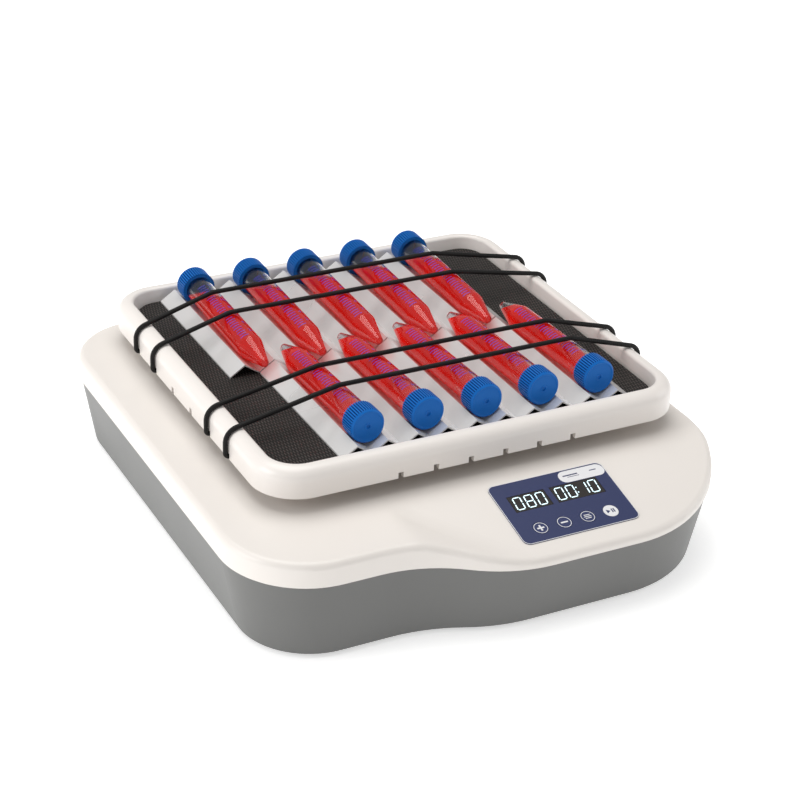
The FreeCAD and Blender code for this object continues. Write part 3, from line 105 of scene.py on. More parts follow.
def effect(title, inputs):
    """A node group that puts out a colour, a roughness and a normal."""
    tree = bpy.data.node_groups.new(title, "ShaderNodeTree")
    for label, start in inputs.items():
        kind = "NodeSocketColor" if isinstance(start, tuple) else "NodeSocketFloat"
        socket = tree.interface.new_socket(name=label, in_out="INPUT", socket_type=kind)
        socket.default_value = start
    for label, kind in (("Color", "NodeSocketColor"), ("Roughness", "NodeSocketFloat"),
                        ("Normal", "NodeSocketVector")):
        tree.interface.new_socket(name=label, in_out="OUTPUT", socket_type=kind)
    return tree, tree.nodes.new("NodeGroupInput").outputs, tree.nodes.new("NodeGroupOutput")


def math_node(tree, operation, first, second):
    """The result of one sum on two values."""
    return add(tree, "ShaderNodeMath", {0: first, 1: second}, operation=operation).outputs[0]


def noise(tree, vector, scale, detail):
    """A noise value from 0 to 1 at each point."""
    return add(tree, "ShaderNodeTexNoise",
               {"Vector": vector, "Scale": scale, "Detail": detail}).outputs["Fac"]


def blend_colours(tree, factor, first, second):
    """The first colour where the factor is 0, the second where it is 1."""
    mixer = tree.nodes.new("ShaderNodeMix")
    mixer.data_type = "RGBA"
    for socket, source in ((mixer.inputs[0], factor), (mixer.inputs[6], first),
                           (mixer.inputs[7], second)):
        tree.links.new(source, socket)
    return mixer.outputs[2]


def spread_round(tree, middle, spread, mask):
    """A value that varies with a mask round its middle."""
    shifted = math_node(tree, "SUBTRACT", mask, 0.5)
    return math_node(tree, "ADD", middle, math_node(tree, "MULTIPLY", spread, shifted))


def close_effect(tree, out, colour, rough, height, relief, depth):
    """Joins the three outputs; the height becomes a normal."""
    bump = add(tree, "ShaderNodeBump", {"Strength": relief, "Distance": depth, "Height": height})
    tree.links.new(colour, out.inputs["Color"])
    tree.links.new(rough, out.inputs["Roughness"])
    tree.links.new(bump.outputs["Normal"], out.inputs["Normal"])
    return tree


print("node helpers ready")

# %% [markdown]
# ## Moulded plastic
# Moulded covers look plain, but they are never quite even. The tool leaves a fine
# spark-eroded grain, and the gloss wanders a little over a hand's width. Two noise
# textures give both: a broad one shifts the colour, a fine one lifts the surface.

# %% Effect: moulded skin
def moulded_skin():
    """A fine grain and a slow wander of colour and gloss."""
    tree, given, out = effect("moulded skin", {
        "Color": (0.8, 0.8, 0.8, 1), "Shade": (0.7, 0.7, 0.7, 1), "Roughness": 0.4,
        "Spread": 0.1, "Grain": 900.0, "Relief": 0.1})
    place = add(tree, "ShaderNodeTexCoord").outputs["Object"]
    broad = noise(tree, place, 14.0, 3.0)
    fine = noise(tree, place, given["Grain"], 3.0)
    colour = blend_colours(tree, broad, given["Color"], given["Shade"])
    rough = spread_round(tree, given["Roughness"], given["Spread"], broad)
    return close_effect(tree, out, colour, rough, fine, given["Relief"], 0.0002)


SKIN = moulded_skin()
print("effect:", SKIN.name)

# %% [markdown]
# ## Brushed and turned metal
# Sheet steel carries straight rolling lines, and turned parts fine rings. Stretched
# noise gives streaks that catch the light along one direction.

# %% Effect: brushed metal
def brushed_metal():
    """Long thin streaks over a faint cloud."""
    tree, given, out = effect("brushed metal", {
        "Color": (0.6, 0.6, 0.6, 1), "Shade": (0.5, 0.5, 0.5, 1), "Roughness": 0.35,
        "Spread": 0.2, "Relief": 0.15})
    place = add(tree, "ShaderNodeTexCoord").outputs["Object"]
    streaked = add(tree, "ShaderNodeMapping", {"Vector": place, "Scale": (30, 1400, 1400)})
    lines = noise(tree, streaked.outputs["Vector"], 1.0, 4.0)
    cloud = noise(tree, place, 25.0, 3.0)
    colour = blend_colours(tree, cloud, given["Color"], given["Shade"])
    rough = spread_round(tree, given["Roughness"], given["Spread"], lines)
    return close_effect(tree, out, colour, rough, lines, given["Relief"], 0.00005)


METAL = brushed_metal()
print("effect:", METAL.name)

# %% [markdown]
# ## Ribbed rubber
# The mat is pressed with rows of small raised ribs, staggered like bricks, so that
# nothing slides on it. A brick pattern with soft joints gives the ribs, and worn
# tops are a little lighter than the joints between them.

# %% Effect: ribbed rubber
def ribbed_rubber():
    """Small raised ribs in staggered rows, dark in the joints."""
    tree, given, out = effect("ribbed rubber", {
        "Color": (0.05, 0.045, 0.04, 1), "Shade": (0.01, 0.01, 0.01, 1), "Roughness": 0.6,
        "Spread": 0.2, "Relief": 1.0})
    place = add(tree, "ShaderNodeTexCoord").outputs["Object"]
    bricks = add(tree, "ShaderNodeTexBrick", {
        "Vector": place, "Scale": 1.0, "Mortar Size": 0.0010, "Mortar Smooth": 1.0,
        "Brick Width": 0.0019, "Row Height": 0.0036})
    joints = bricks.outputs["Fac"]
    raised = math_node(tree, "SUBTRACT", 1.0, joints)
    cloud = noise(tree, place, 40.0, 4.0)
    tops = math_node(tree, "MULTIPLY", raised, math_node(tree, "ADD", cloud, 0.45))
    colour = blend_colours(tree, tops, given["Shade"], given["Color"])
    rough = spread_round(tree, given["Roughness"], given["Spread"], cloud)
    return close_effect(tree, out, colour, rough, raised, given["Relief"], 0.0006)


RIBBED = ribbed_rubber()
print("effect:", RIBBED.name)

# %% [markdown]
# ## Braided cord
# An elastic cord has a braided sleeve: strands cross over each other on two slants.
# Two diagonal waves, the higher of the two at each point, read as a braid.

# %% Effect: braid
def braid():
    """Strands that cross on two slants."""
    tree, given, out = effect("braid", {
        "Color": (0.02, 0.02, 0.02, 1), "Shade": (0.005, 0.005, 0.005, 1), "Roughness": 0.45,
        "Spread": 0.2, "Relief": 0.7})
    place = add(tree, "ShaderNodeTexCoord").outputs["Object"]
    strands = []
    for slant in (1, -1):
        leant = add(tree, "ShaderNodeMapping", {
            "Vector": place, "Rotation": (slant * 0.5, 0, slant * math.radians(38))})
        strands.append(add(tree, "ShaderNodeTexWave", {
            "Vector": leant.outputs["Vector"], "Scale": 300.0, "Distortion": 0.3}).outputs["Fac"])
    over = math_node(tree, "MAXIMUM", strands[0], strands[1])
    colour = blend_colours(tree, over, given["Shade"], given["Color"])
    rough = spread_round(tree, given["Roughness"], given["Spread"], over)
    return close_effect(tree, out, colour, rough, over, given["Relief"], 0.0002)


BRAID = braid()
print("effect:", BRAID.name)

# %% [markdown]
# ## Circuit board
# Under the green lacquer of a board run copper tracks, which show as slightly
# lighter lines, and small tinned pads. Cell edges make the tracks.

# %% Effect: circuit board
def circuit_board():
    """Lighter tracks along the edges of cells."""
    tree, given, out = effect("circuit board", {
        "Color": (0.02, 0.15, 0.06, 1), "Shade": (0.05, 0.28, 0.12, 1), "Roughness": 0.35,
        "Spread": 0.2, "Relief": 0.4})
    place = add(tree, "ShaderNodeTexCoord").outputs["Object"]
    cells = add(tree, "ShaderNodeTexVoronoi", {"Vector": place, "Scale": 160.0},
                feature="DISTANCE_TO_EDGE").outputs["Distance"]
    tracks = math_node(tree, "LESS_THAN", cells, 0.09)
    colour = blend_colours(tree, tracks, given["Color"], given["Shade"])
    rough = spread_round(tree, given["Roughness"], given["Spread"], tracks)
    return close_effect(tree, out, colour, rough, tracks, given["Relief"], 0.00005)


BOARD = circuit_board()
print("effect:", BOARD.name)

# %% [markdown]
# ## Finishes
# Each finish is one material: a Principled shader fed by one of the effects. What is
# the same all over, such as metal or glass, is set straight on the shader.

# %% Make the finishes
FINISHES = {}


def finish(slot, skin, colour, shade, rough, spread, relief, grain=None, **constants):
    """A material named after its slot; constants are plain values of the shader."""
    material = bpy.data.materials.new(slot)
    material.use_nodes = True
    tree = material.node_tree
    shader = tree.nodes["Principled BSDF"]
    sockets = {"Color": (*colour, 1), "Shade": (*shade, 1), "Roughness": rough,
               "Spread": spread, "Relief": relief}
    if grain:
        sockets["Grain"] = grain
    made = add(tree, "ShaderNodeGroup", sockets, node_tree=skin)
    for label, socket in (("Color", "Base Color"), ("Roughness", "Roughness"),
                          ("Normal", "Normal")):
        tree.links.new(made.outputs[label], shader.inputs[socket])
    for key, constant in constants.items():
        shader.inputs[key.replace("_", " ")].default_value = constant
    FINISHES[slot] = material
    return material


finish("cover_white", SKIN, (0.88, 0.835, 0.79), (0.86, 0.81, 0.765), 0.36, 0.08, 0.06,
       1500.0, Coat_Weight=0.15, Coat_Roughness=0.25)
finish("tray_white", SKIN, (0.90, 0.855, 0.815), (0.88, 0.83, 0.79), 0.30, 0.08, 0.04,
       1500.0, Coat_Weight=0.25, Coat_Roughness=0.2)
finish("casing_grey", SKIN, (0.165, 0.166, 0.161), (0.15, 0.151, 0.147), 0.42, 0.1, 0.10,
       1800.0)
finish("rubber_black", SKIN, (0.03, 0.028, 0.027), (0.02, 0.02, 0.02), 0.75, 0.1, 0.3, 1500.0)
finish("belt_black", SKIN, (0.022, 0.022, 0.022), (0.03, 0.03, 0.03), 0.7, 0.1, 0.4, 1200.0)
finish("mat_rubber", RIBBED, (0.085, 0.073, 0.067), (0.002, 0.002, 0.002), 0.6, 0.2, 1.0,
       Specular_IOR_Level=0.25)
finish("cord_black", BRAID, (0.008, 0.007, 0.007), (0.003, 0.003, 0.003), 0.5, 0.1, 0.5,
       Specular_IOR_Level=0.25)
finish("steel", METAL, (0.62, 0.62, 0.63), (0.52, 0.53, 0.54), 0.3, 0.2, 0.1, Metallic=1.0)
finish("plate_steel", METAL, (0.58, 0.59, 0.60), (0.48, 0.49, 0.5), 0.42, 0.2, 0.2, Metallic=1.0)
finish("aluminium", METAL, (0.76, 0.77, 0.78), (0.68, 0.69, 0.7), 0.36, 0.2, 0.15, Metallic=1.0)
finish("bearing_steel", METAL, (0.72, 0.72, 0.73), (0.66, 0.66, 0.67), 0.16, 0.1, 0.05,
       Metallic=1.0)
finish("motor_black", SKIN, (0.05, 0.05, 0.055), (0.07, 0.07, 0.075), 0.45, 0.2, 0.2, 700.0)
finish("board_green", BOARD, (0.02, 0.14, 0.06), (0.04, 0.24, 0.1), 0.3, 0.15, 0.4,
       Coat_Weight=0.4)
finish("display_black", SKIN, (0.022, 0.018, 0.017), (0.028, 0.024, 0.022), 0.16, 0.05, 0.01,
       900.0, Coat_Weight=0.3, Coat_Roughness=0.08)
finish("switch_black", SKIN, (0.03, 0.03, 0.03), (0.04, 0.04, 0.04), 0.5, 0.15, 0.25, 1200.0)
finish("overlay_navy", SKIN, (0.026, 0.038, 0.125), (0.023, 0.034, 0.112), 0.34, 0.06, 0.05,
       2200.0, Coat_Weight=0.1)
finish("key_navy", SKIN, (0.028, 0.041, 0.133), (0.025, 0.036, 0.120), 0.3, 0.06, 0.05, 2200.0,
       Coat_Weight=0.2)
finish("key_white", SKIN, (0.88, 0.88, 0.90), (0.84, 0.84, 0.86), 0.3, 0.06, 0.03, 2200.0)
finish("rack_white", SKIN, (0.88, 0.87, 0.865), (0.84, 0.83, 0.825), 0.26, 0.12, 0.05, 420.0,
       Metallic=0.4)
finish("cap_blue", SKIN, (0.006, 0.155, 0.56), (0.005, 0.135, 0.50), 0.40, 0.1, 0.1, 900.0,
       Specular_IOR_Level=0.2)
# Painted shade: a darker, duller blue for the sides of the cap grooves.
finish("cap_groove_painted_shade", SKIN, (0.004, 0.080, 0.32), (0.004, 0.070, 0.28), 0.55, 0.1, 0.1, 900.0,
       Specular_IOR_Level=0.1)
finish("tube_clear", SKIN, (0.96, 0.975, 0.985), (0.93, 0.955, 0.975), 0.09, 0.02, 0.0, 300.0,
       Transmission_Weight=1.0, IOR=1.45)
# Painted light: the samples glow faintly, standing in for the red light they pass onto the racks.
finish("sample_red", SKIN, (0.95, 0.022, 0.012), (0.90, 0.016, 0.009), 0.16, 0.02, 0.0, 150.0,
       Transmission_Weight=0.6, IOR=1.33, Emission_Color=(1.0, 0.02, 0.01, 1),
       Emission_Strength=0.13)
finish("print_ink", SKIN, (0.045, 0.05, 0.50), (0.06, 0.06, 0.56), 0.5, 0.1, 0.05, 900.0)
lit = finish("lit_segment", SKIN, (0.75, 0.95, 1.0), (0.65, 0.9, 0.98), 0.3, 0.02, 0.01, 900.0,
             Emission_Strength=1.0)
lit_skin = [n for n in lit.node_tree.nodes if n.type == "GROUP"][0]
lit_shader = lit.node_tree.nodes["Principled BSDF"]
lit.node_tree.links.new(lit_skin.outputs["Color"], lit_shader.inputs["Emission Color"])
print("finishes:", len(FINISHES))

# %% [markdown]
# ## Dress the drawn parts
# Every drawn part that keeps its own shape takes the finish of its group. The parts
# that are rebuilt below get one as well, so that nothing is left plain.

# %% Give every drawn part its finish
WEARS = {
    "cover_white": ["top_cover"],
    "casing_grey": ["lower_casing"],
    "rubber_black": ["rubber_feet"],
    "steel": ["foot_screws", "cover_screws", "plate_screws", "housing_screws", "motor_screws",
              "power_board_screws", "control_board_screws", "tray_screws", "drive_crank",
              "idler_crank_1", "idler_crank_2", "idler_crank_3", "counterweight",
              "motor_shaft", "inlet_nut", "chassis_posts"],
    "plate_steel": ["chassis_plate"],
    "aluminium": ["drive_bearing_housing", "idler_bearing_housings", "carrier_plate",
                  "drive_pulley", "motor_pulley"],
    "bearing_steel": ["drive_bearings", "idler_bearings", "carrier_bearings"],
    "motor_black": ["motor_body"],
    "belt_black": ["drive_belt"],
    "board_green": ["power_board", "control_board"],
    "display_black": ["rpm_display", "time_display"],
    "switch_black": ["power_inlet", "switch_frame", "power_rocker", "key_switches"],
    "overlay_navy": ["panel_overlay"],
    "key_navy": ["key_plus", "key_minus", "key_mode"],
    "key_white": ["key_start"],
    "tray_white": ["tray"],
    "mat_rubber": ["platform_mat"],
    "rack_white": ["tube_rack_front", "tube_rack_rear"],
    "cord_black": [f"elastic_cord_{k}" for k in (1, 2, 3, 4)],
    "tube_clear": ["tubes_front", "tubes_rear"],
    "cap_blue": ["caps_front", "caps_rear"],
    "sample_red": ["samples_front", "samples_rear"],
}
for slot, members in WEARS.items():
    for name in members:
        nodes[name].data.materials.clear()
        nodes[name].data.materials.append(FINISHES[slot])
plain = sorted(set(nodes) - {name for members in WEARS.values() for name in members})
print("dressed:", len(nodes) - len(plain), "left plain:", plain)

# %% [markdown]
# ## Making pieces
# A bmesh is Blender's editable mesh. One helper turns a finished bmesh into an
# object whose place is already in its mesh, gives it a finish, and lets it ride on
# a body. Round parts come from a profile that is spun about an axis.

# %% Helpers for pieces
def piece(name, work, slot, body, smooth=35, replaces=(), facing=True):
    """A finished object from a bmesh, with sharp edges kept above an angle."""
    if facing:
        bmesh.ops.recalc_face_normals(work, faces=work.faces)
    for face in work.faces:
        face.smooth = True
    for edge in work.edges:
        edge.smooth = edge.calc_face_angle(0) < math.radians(smooth)
    mesh = bpy.data.meshes.new(name)
    work.to_mesh(mesh)
    work.free()
    mesh.materials.append(FINISHES[slot])
    made = bpy.data.objects.new(name, mesh)
    bpy.context.collection.objects.link(made)
    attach(made, body)
    if replaces:
        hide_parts(*replaces)
    print(name, "faces:", len(mesh.polygons))
    return made


def spun(profile, steps):
    """A solid turned about Y from (radius, distance) points in millimetres."""
    work = bmesh.new()
    points = [work.verts.new((radius * MM, along * MM, 0)) for radius, along in profile]
    edges = [work.edges.new(pair) for pair in zip(points, points[1:])]
    bmesh.ops.spin(work, geom=points + edges, cent=(0, 0, 0), axis=(0, 1, 0),
                   angle=math.tau, steps=steps, use_merge=True, use_duplicate=False)
    bmesh.ops.remove_doubles(work, verts=work.verts, dist=1e-7)
    return work


def repeated(work, places):
    """The same shape at several places, in one bmesh."""
    model = bpy.data.meshes.new("model")
    work.to_mesh(model)
    work.free()
    whole = bmesh.new()
    for place in places:
        start = len(whole.verts)
        whole.from_mesh(model)
        whole.verts.ensure_lookup_table()
        bmesh.ops.transform(whole, matrix=place, verts=whole.verts[start:])
    bpy.data.meshes.remove(model)
    return whole


print("piece helpers ready")

# %% [markdown]
# ## Where the tubes lie
# Each tube rests in a groove of the folded rack. Its cap is thicker than the tube,
# so it rests higher and the tube slopes a little toward its tip. The front row has
# its caps to the front, the rear row to the rear, and the two rows interlock.

# %% Rows of tubes
GROOVE_PITCH, GROOVE_RISE, SHEET = 19.5, 6.6, 0.8
CAP_FACE = 0.111
TUBE_R, TUBE_WALL, TUBE_L, CONE, TIP_R = 8.4, 1.0, 119.0, 22.0, 2.6
CAP_R, CAP_H, CAP_TOP = 10.9, 12.6, 1.6
SEAT_GAP = 0.1

mat_low, mat_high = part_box("platform_mat")
tray_x, tray_y = (mat_low.x + mat_high.x) / 2, (mat_low.y + mat_high.y) / 2
fold_cos = math.cos(math.atan(2 * GROOVE_RISE / GROOVE_PITCH))
valley = mat_high.z / MM + SHEET / fold_cos
cap_seat = valley + (CAP_R + SEAT_GAP) / fold_cos
tube_seat = valley + (TUBE_R + SEAT_GAP) / fold_cos
tilt = math.atan((cap_seat - tube_seat) / (TUBE_L - CONE - CAP_H))
face_z = (cap_seat + CAP_H * math.tan(tilt)) * MM
lie = Matrix.Rotation(-tilt, 4, "X")
front_row = Matrix.Translation((tray_x - 3.5 * GROOVE_PITCH * MM, tray_y - CAP_FACE, face_z)) @ lie
rear_row = (Matrix.Translation((tray_x + 3.5 * GROOVE_PITCH * MM, tray_y + CAP_FACE, face_z))
            @ Matrix.Rotation(math.pi, 4, "Z") @ lie)
steps_along = [Matrix.Translation((2 * GROOVE_PITCH * k * MM, 0, 0)) for k in range(5)]
ROWS = {"front": [front_row @ step for step in steps_along],
        "rear": [rear_row @ step for step in steps_along]}
print("tube tilt:", round(math.degrees(tilt), 2), "cap face at", round(face_z, 4))

# %% [markdown]
# ## Screw caps
# A cap is a short cup with over forty ribs for the fingers. The ribs run out into a
# smooth shoulder before the flat end, and the moulding gate leaves a small ringed
# dimple in the middle. The ribbed outline starts as a many-sided circle with every
# fourth point drawn in; extruding it makes the skirt. The sides of the grooves between
# the ribs take a darker finish: painted shade, since light hardly gets into them.

# %% Build one cap and repeat it
RIBS, RIB_DEPTH, SHOULDER = 44, 1.0, 1.6
CAP_STEPS = 4 * RIBS
BORE_R = TUBE_R + 0.1
# The rounded edge as (radius, step along the axis), then the end as (inset, step).
EDGE_STEPS = ((10.45, -0.7), (10.0, -0.45), (9.6, -0.25))
END_STEPS = ((0.5, 0.0), (0.3, 0.25), (6.7, 0.0), (0.2, -0.4), (0.55, 0.0), (0.25, 0.8))
ON_END = Matrix.Rotation(math.pi / 2, 3, "X")


def raise_face(work, face, step, radius=None):
    """Extrudes a face along Y; a radius brings every new point to one circle."""
    made = bmesh.ops.extrude_face_region(work, geom=[face])["geom"]
    verts = [item for item in made if isinstance(item, bmesh.types.BMVert)]
    top = [item for item in made if isinstance(item, bmesh.types.BMFace)][0]
    if face.is_valid:
        bmesh.ops.delete(work, geom=[face], context="FACES_ONLY")
    bmesh.ops.translate(work, verts=verts, vec=(0, step * MM, 0))
    if radius:
        for vert in verts:
            flat = Vector((vert.co.x, 0, vert.co.z))
            vert.co = flat.normalized() * radius * MM + Vector((0, vert.co.y, 0))
    return top


def inset_face(work, face, amount, step):
    """Insets a face and moves the inner one along Y."""
    bmesh.ops.inset_region(work, faces=[face], thickness=amount * MM, use_even_offset=True)
    bmesh.ops.translate(work, verts=face.verts, vec=(0, step * MM, 0))


def cap_blank():
    """The ribbed outside, still open at the tube's end."""
    work = bmesh.new()
    made = bmesh.ops.create_circle(work, cap_ends=True, segments=CAP_STEPS, radius=CAP_R * MM)
    for vert in made["verts"][3::4]:
        vert.co *= 1 - RIB_DEPTH / CAP_R
    bmesh.ops.rotate(work, verts=work.verts, matrix=ON_END)
    bmesh.ops.translate(work, verts=work.verts, vec=(0, CAP_H * MM, 0))
    (disc,) = work.faces
    last = raise_face(work, disc, SHOULDER - CAP_H)
    for radius, step in EDGE_STEPS:
        last = raise_face(work, last, step, radius)
    for inset, step in END_STEPS:
        inset_face(work, last, inset, step)
    return work


def cap_shell():
    """The ribbed outside with the bore for the tube."""
    work = cap_blank()
    rim_y = CAP_H * MM
    rim = [e for e in work.edges if e.is_boundary and all(abs(v.co.y - rim_y) < 1e-6
                                                           for v in e.verts)]
    bore_points = []
    for along in (CAP_H, CAP_TOP):
        circle = bmesh.ops.create_circle(work, segments=CAP_STEPS, radius=BORE_R * MM)["verts"]
        bmesh.ops.rotate(work, verts=circle, matrix=ON_END)
        bmesh.ops.translate(work, verts=circle, vec=(0, along * MM, 0))
        bore_points.append(set(circle))
    loops = [[e for e in work.edges if all(v in circle for v in e.verts)]
             for circle in bore_points]
    bmesh.ops.bridge_loops(work, edges=rim + loops[0])
    bmesh.ops.bridge_loops(work, edges=loops[0] + loops[1])
    bmesh.ops.contextual_create(work, geom=loops[1])
    return work


def is_groove(face):
    """True for a side of the groove between two ribs."""
    middle = face.calc_center_median()
    radius = math.hypot(middle.x, middle.z) / MM
    on_skirt = SHOULDER < middle.y / MM < CAP_H - RIB_DEPTH
    return on_skirt and CAP_R - RIB_DEPTH < radius < CAP_R - RIB_DEPTH / 4


for row, places in ROWS.items():
    shell = cap_shell()
    for face in shell.faces:
        # Groove sides take the second finish, which paints their shade darker.
        face.material_index = 1 if is_groove(face) else 0
    caps = piece(f"screw_caps_{row}", repeated(shell, places), "cap_blue", "platform", 28,
                 [f"caps_{row}"])
    caps.data.materials.append(FINISHES["cap_groove_painted_shade"])

# %% [markdown]
# ## Tubes
# A tube is spun from its wall's outline: straight from the mouth, then a cone with a
# small flat tip. Bevels on the rings soften the shoulder and the tip, as moulding
# does.

# %% Build the clear tubes
MOUTH = 2.0
TIP_EDGE, TIP_FLAT_R = 0.3, TIP_R - 1.4
TIP_FLOOR, TIP_SIDE = TUBE_L - 1.5, TUBE_L - 1.8
CONE_START = TUBE_L - CONE
INNER_R, TIP_INNER_R = TUBE_R - TUBE_WALL, TIP_R - TUBE_WALL
SOFTENING = 1.6
ROUND_STEPS = 56


def tube_wall():
    """One clear tube, open at the mouth."""
    work = spun([(INNER_R, MOUTH), (TUBE_R, MOUTH), (TUBE_R, CONE_START),
                 (TIP_R, TUBE_L - TIP_EDGE), (TIP_FLAT_R, TUBE_L), (0, TUBE_L), (0, TIP_FLOOR),
                 (TIP_INNER_R, TIP_SIDE), (INNER_R, CONE_START), (INNER_R, MOUTH)], ROUND_STEPS)
    rings = [e for e in work.edges if all(abs(v.co.y - CONE_START * MM) < 1e-6 for v in e.verts)]
    bmesh.ops.bevel(work, geom=rings, offset=SOFTENING * MM, offset_type="OFFSET", segments=4,
                    profile=0.5, affect="EDGES", material=-1)
    return work


for row, places in ROWS.items():
    piece(f"tube_bodies_{row}", repeated(tube_wall(), places), "tube_clear", "platform", 40,
          [f"tubes_{row}"])

# %% [markdown]
# ## Samples
# Each tube is nearly full, so its liquid has the shape of the bore, with a sloping
# surface under the air at the cap end. The tubes with their caps to the front also
# keep a bubble at the tip. The liquid reaches just into the wall, so that light
# passes from wall to liquid without a false gap between them.

# %% Build the samples
FILL_START, FILL_REACH, FILL_LEVEL = 14.5, 30.0, -2.0
BUBBLE_START, BUBBLE_END, BUBBLE_LEVEL = CONE_START + 3.0, TUBE_L - 3.0, -1.2
IN_WALL = 0.2
FILL_R = INNER_R + IN_WALL
ABOVE_FILL = FILL_R + 0.3


def liquid(bubble):
    """The liquid of one tube; each cut is a slanting surface from y0, z0 to y1, z1."""
    work = spun([(0, FILL_START), (FILL_R, FILL_START), (FILL_R, CONE_START),
                 (TIP_INNER_R + IN_WALL, TIP_SIDE), (0, TIP_FLOOR)], ROUND_STEPS)
    cuts = [(FILL_START, FILL_LEVEL, FILL_START + FILL_REACH, ABOVE_FILL)]
    if bubble:
        cuts.append((BUBBLE_START, ABOVE_FILL, BUBBLE_END, BUBBLE_LEVEL))
    for y0, z0, y1, z1 in cuts:
        slant = Vector((0, z0 - z1, y1 - y0)).normalized()
        geometry = work.verts[:] + work.edges[:] + work.faces[:]
        bmesh.ops.bisect_plane(work, geom=geometry, dist=1e-7, plane_co=(0, y0 * MM, z0 * MM),
                               plane_no=slant, clear_outer=True)
        rim = [e for e in work.edges if e.is_boundary]
        bmesh.ops.contextual_create(work, geom=rim)
    return work


for row, places in ROWS.items():
    piece(f"liquid_{row}", repeated(liquid(row == "front"), places), "sample_red", "platform",
          30, [f"samples_{row}"])

# %% [markdown]
# ## Printed scales
# A tube carries a ladder of marks and a column of numbers, printed in blue ink on
# its upper side. The marks are thin strips and the numbers are text turned into a
# mesh; both are wrapped round the tube by turning the sideways distance into an
# angle.

# %% Print one scale and repeat it
PRINT_R = TUBE_R + 0.04
SCALE_START, MARK_PITCH, MARKS = 24.0, 2.7, 27
LONG_MARK, SHORT_MARK, TICK = 5.8, 4.6, 1.6
MARK_LINE, TICK_LINE = 0.6, 0.5
NUMBERS, NUMBER_PITCH, NUMBER_SIZE = range(14, 0, -2), 10.8, 4.2
MARK_SIDE, NUMBER_SIDE, TICK_SIDE = 3.4, 2.6, 5.4


def wrap(verts):
    """Rolls flat print (x across, y along, in metres) onto the tube's upper side."""
    for vert in verts:
        angle = vert.co.x / (PRINT_R * MM)
        vert.co = Vector((math.sin(angle), 0, math.cos(angle))) * PRINT_R * MM + Vector(
            (0, vert.co.y, 0))


def mark(work, x, y, width, height):
    """A flat strip, divided across so that it can bend."""
    made = bmesh.ops.create_grid(work, x_segments=5, y_segments=1, size=0.5)["verts"]
    bmesh.ops.scale(work, verts=made, vec=(width * MM, height * MM, 1))
    bmesh.ops.translate(work, verts=made, vec=(x * MM, y * MM, 0))


def numeral(text, size, x, y, turn):
    """A number as a flat mesh, its middle at x, y."""
    curve = bpy.data.curves.new("numeral", "FONT")
    curve.body, curve.size, curve.resolution_u = text, size * MM, 2
    curve.align_x, curve.align_y = "CENTER", "CENTER"
    holder = bpy.data.objects.new("numeral", curve)
    mesh = bpy.data.meshes.new_from_object(holder)
    bpy.data.objects.remove(holder)
    mesh.transform(Matrix.Translation((x * MM, y * MM, 0)) @ Matrix.Rotation(turn, 4, "Z"))
    return mesh


def scale_print(side):
    """Marks on one side and numbers on the other; side is 1 or -1."""
    work = bmesh.new()
    for k in range(MARKS):
        width = SHORT_MARK if k % 2 else LONG_MARK
        mark(work, -side * MARK_SIDE, SCALE_START + MARK_PITCH * k, width, MARK_LINE)
    for k, number in enumerate(NUMBERS):
        y = SCALE_START + NUMBER_PITCH * k
        work.from_mesh(numeral(str(number), NUMBER_SIZE, side * NUMBER_SIDE, y, math.pi))
        mark(work, side * TICK_SIDE, y, TICK, TICK_LINE)
    wrap(work.verts)
    return work


for row, side in (("front", 1), ("rear", -1)):
    ink = piece(f"printed_scale_{row}", repeated(scale_print(side), ROWS[row]), "print_ink",
                "platform", facing=False)

# %% [markdown]
# ## Control panel print
# The panel's film is navy with a thin white border and a blank white plate in one
# corner. Each is a thin shape on the film: a rectangle whose corners are bevelled
# round, then inset to leave a line. All are drawn flat in the panel's own
# directions and laid on its slope by one matrix.

# %% Panel directions and flat shapes
SLOPE_ANGLE = math.radians(13)
COVER_TOP, SLOPE_RUN = 63.0, 64.0
FILM = 0.5
COVER_FRONT = -0.1745
slope_z = COVER_TOP - SLOPE_RUN * math.tan(SLOPE_ANGLE)
PANEL = (Matrix.Translation((0, COVER_FRONT, slope_z * MM))
         @ Matrix.Rotation(SLOPE_ANGLE, 4, "X"))
PANEL_X, PANEL_FOOT = 39.0, 13.0
PANEL_W, PANEL_D = 77.5, 50.0
INK = 0.06
CORNER_STEPS = 8


def flat_shape(work, points, corner=0.0):
    """A flat face from points in millimetres, with its corners rounded."""
    verts = [work.verts.new((x * MM, y * MM, 0)) for x, y in points]
    work.faces.new(verts)
    if corner:
        bmesh.ops.bevel(work, geom=verts, offset=corner * MM, offset_type="OFFSET",
                        segments=CORNER_STEPS, profile=0.5, affect="VERTICES", material=-1)


def oblong(u, v, width, depth):
    """The corners of a rectangle with its middle at u, v."""
    return [(u + sx * width / 2, v + sy * depth / 2)
            for sx, sy in ((-1, -1), (1, -1), (1, 1), (-1, 1))]


def outlined(work, thickness):
    """Keeps only a line round each flat face."""
    middle = work.faces[:]
    bmesh.ops.inset_individual(work, faces=middle, thickness=thickness * MM,
                               use_even_offset=True)
    bmesh.ops.delete(work, geom=middle, context="FACES")
    return work


def on_panel(work, height, thickness=INK):
    """Flat faces given a thin body and laid at a height above the cover's slope."""
    made = bmesh.ops.extrude_face_region(work, geom=work.faces[:])["geom"]
    verts = [item for item in made if isinstance(item, bmesh.types.BMVert)]
    bmesh.ops.translate(work, verts=verts, vec=(0, 0, thickness * MM))
    bmesh.ops.transform(work, matrix=PANEL @ Matrix.Translation((0, 0, height * MM)),
                        verts=work.verts)
    return work


print("panel slope starts at", round(slope_z, 2), "mm")

# %% Border and plate
FILM_CORNER, PLATE_CORNER = 4.5, 4.4
INSIDE_FILM, BORDER_LINE, RULE_INK = 0.1, 0.35, 0.02
# Each is (across from the film's middle, down from its back edge, width, depth).
PLATE = (22.9, 6.0, 30.6, 9.4)
RULES = ((15.5, 5.2, 10.0, 0.9), (17.0, 6.7, 8.0, 0.4), (31.0, 5.2, 4.6, 0.7))


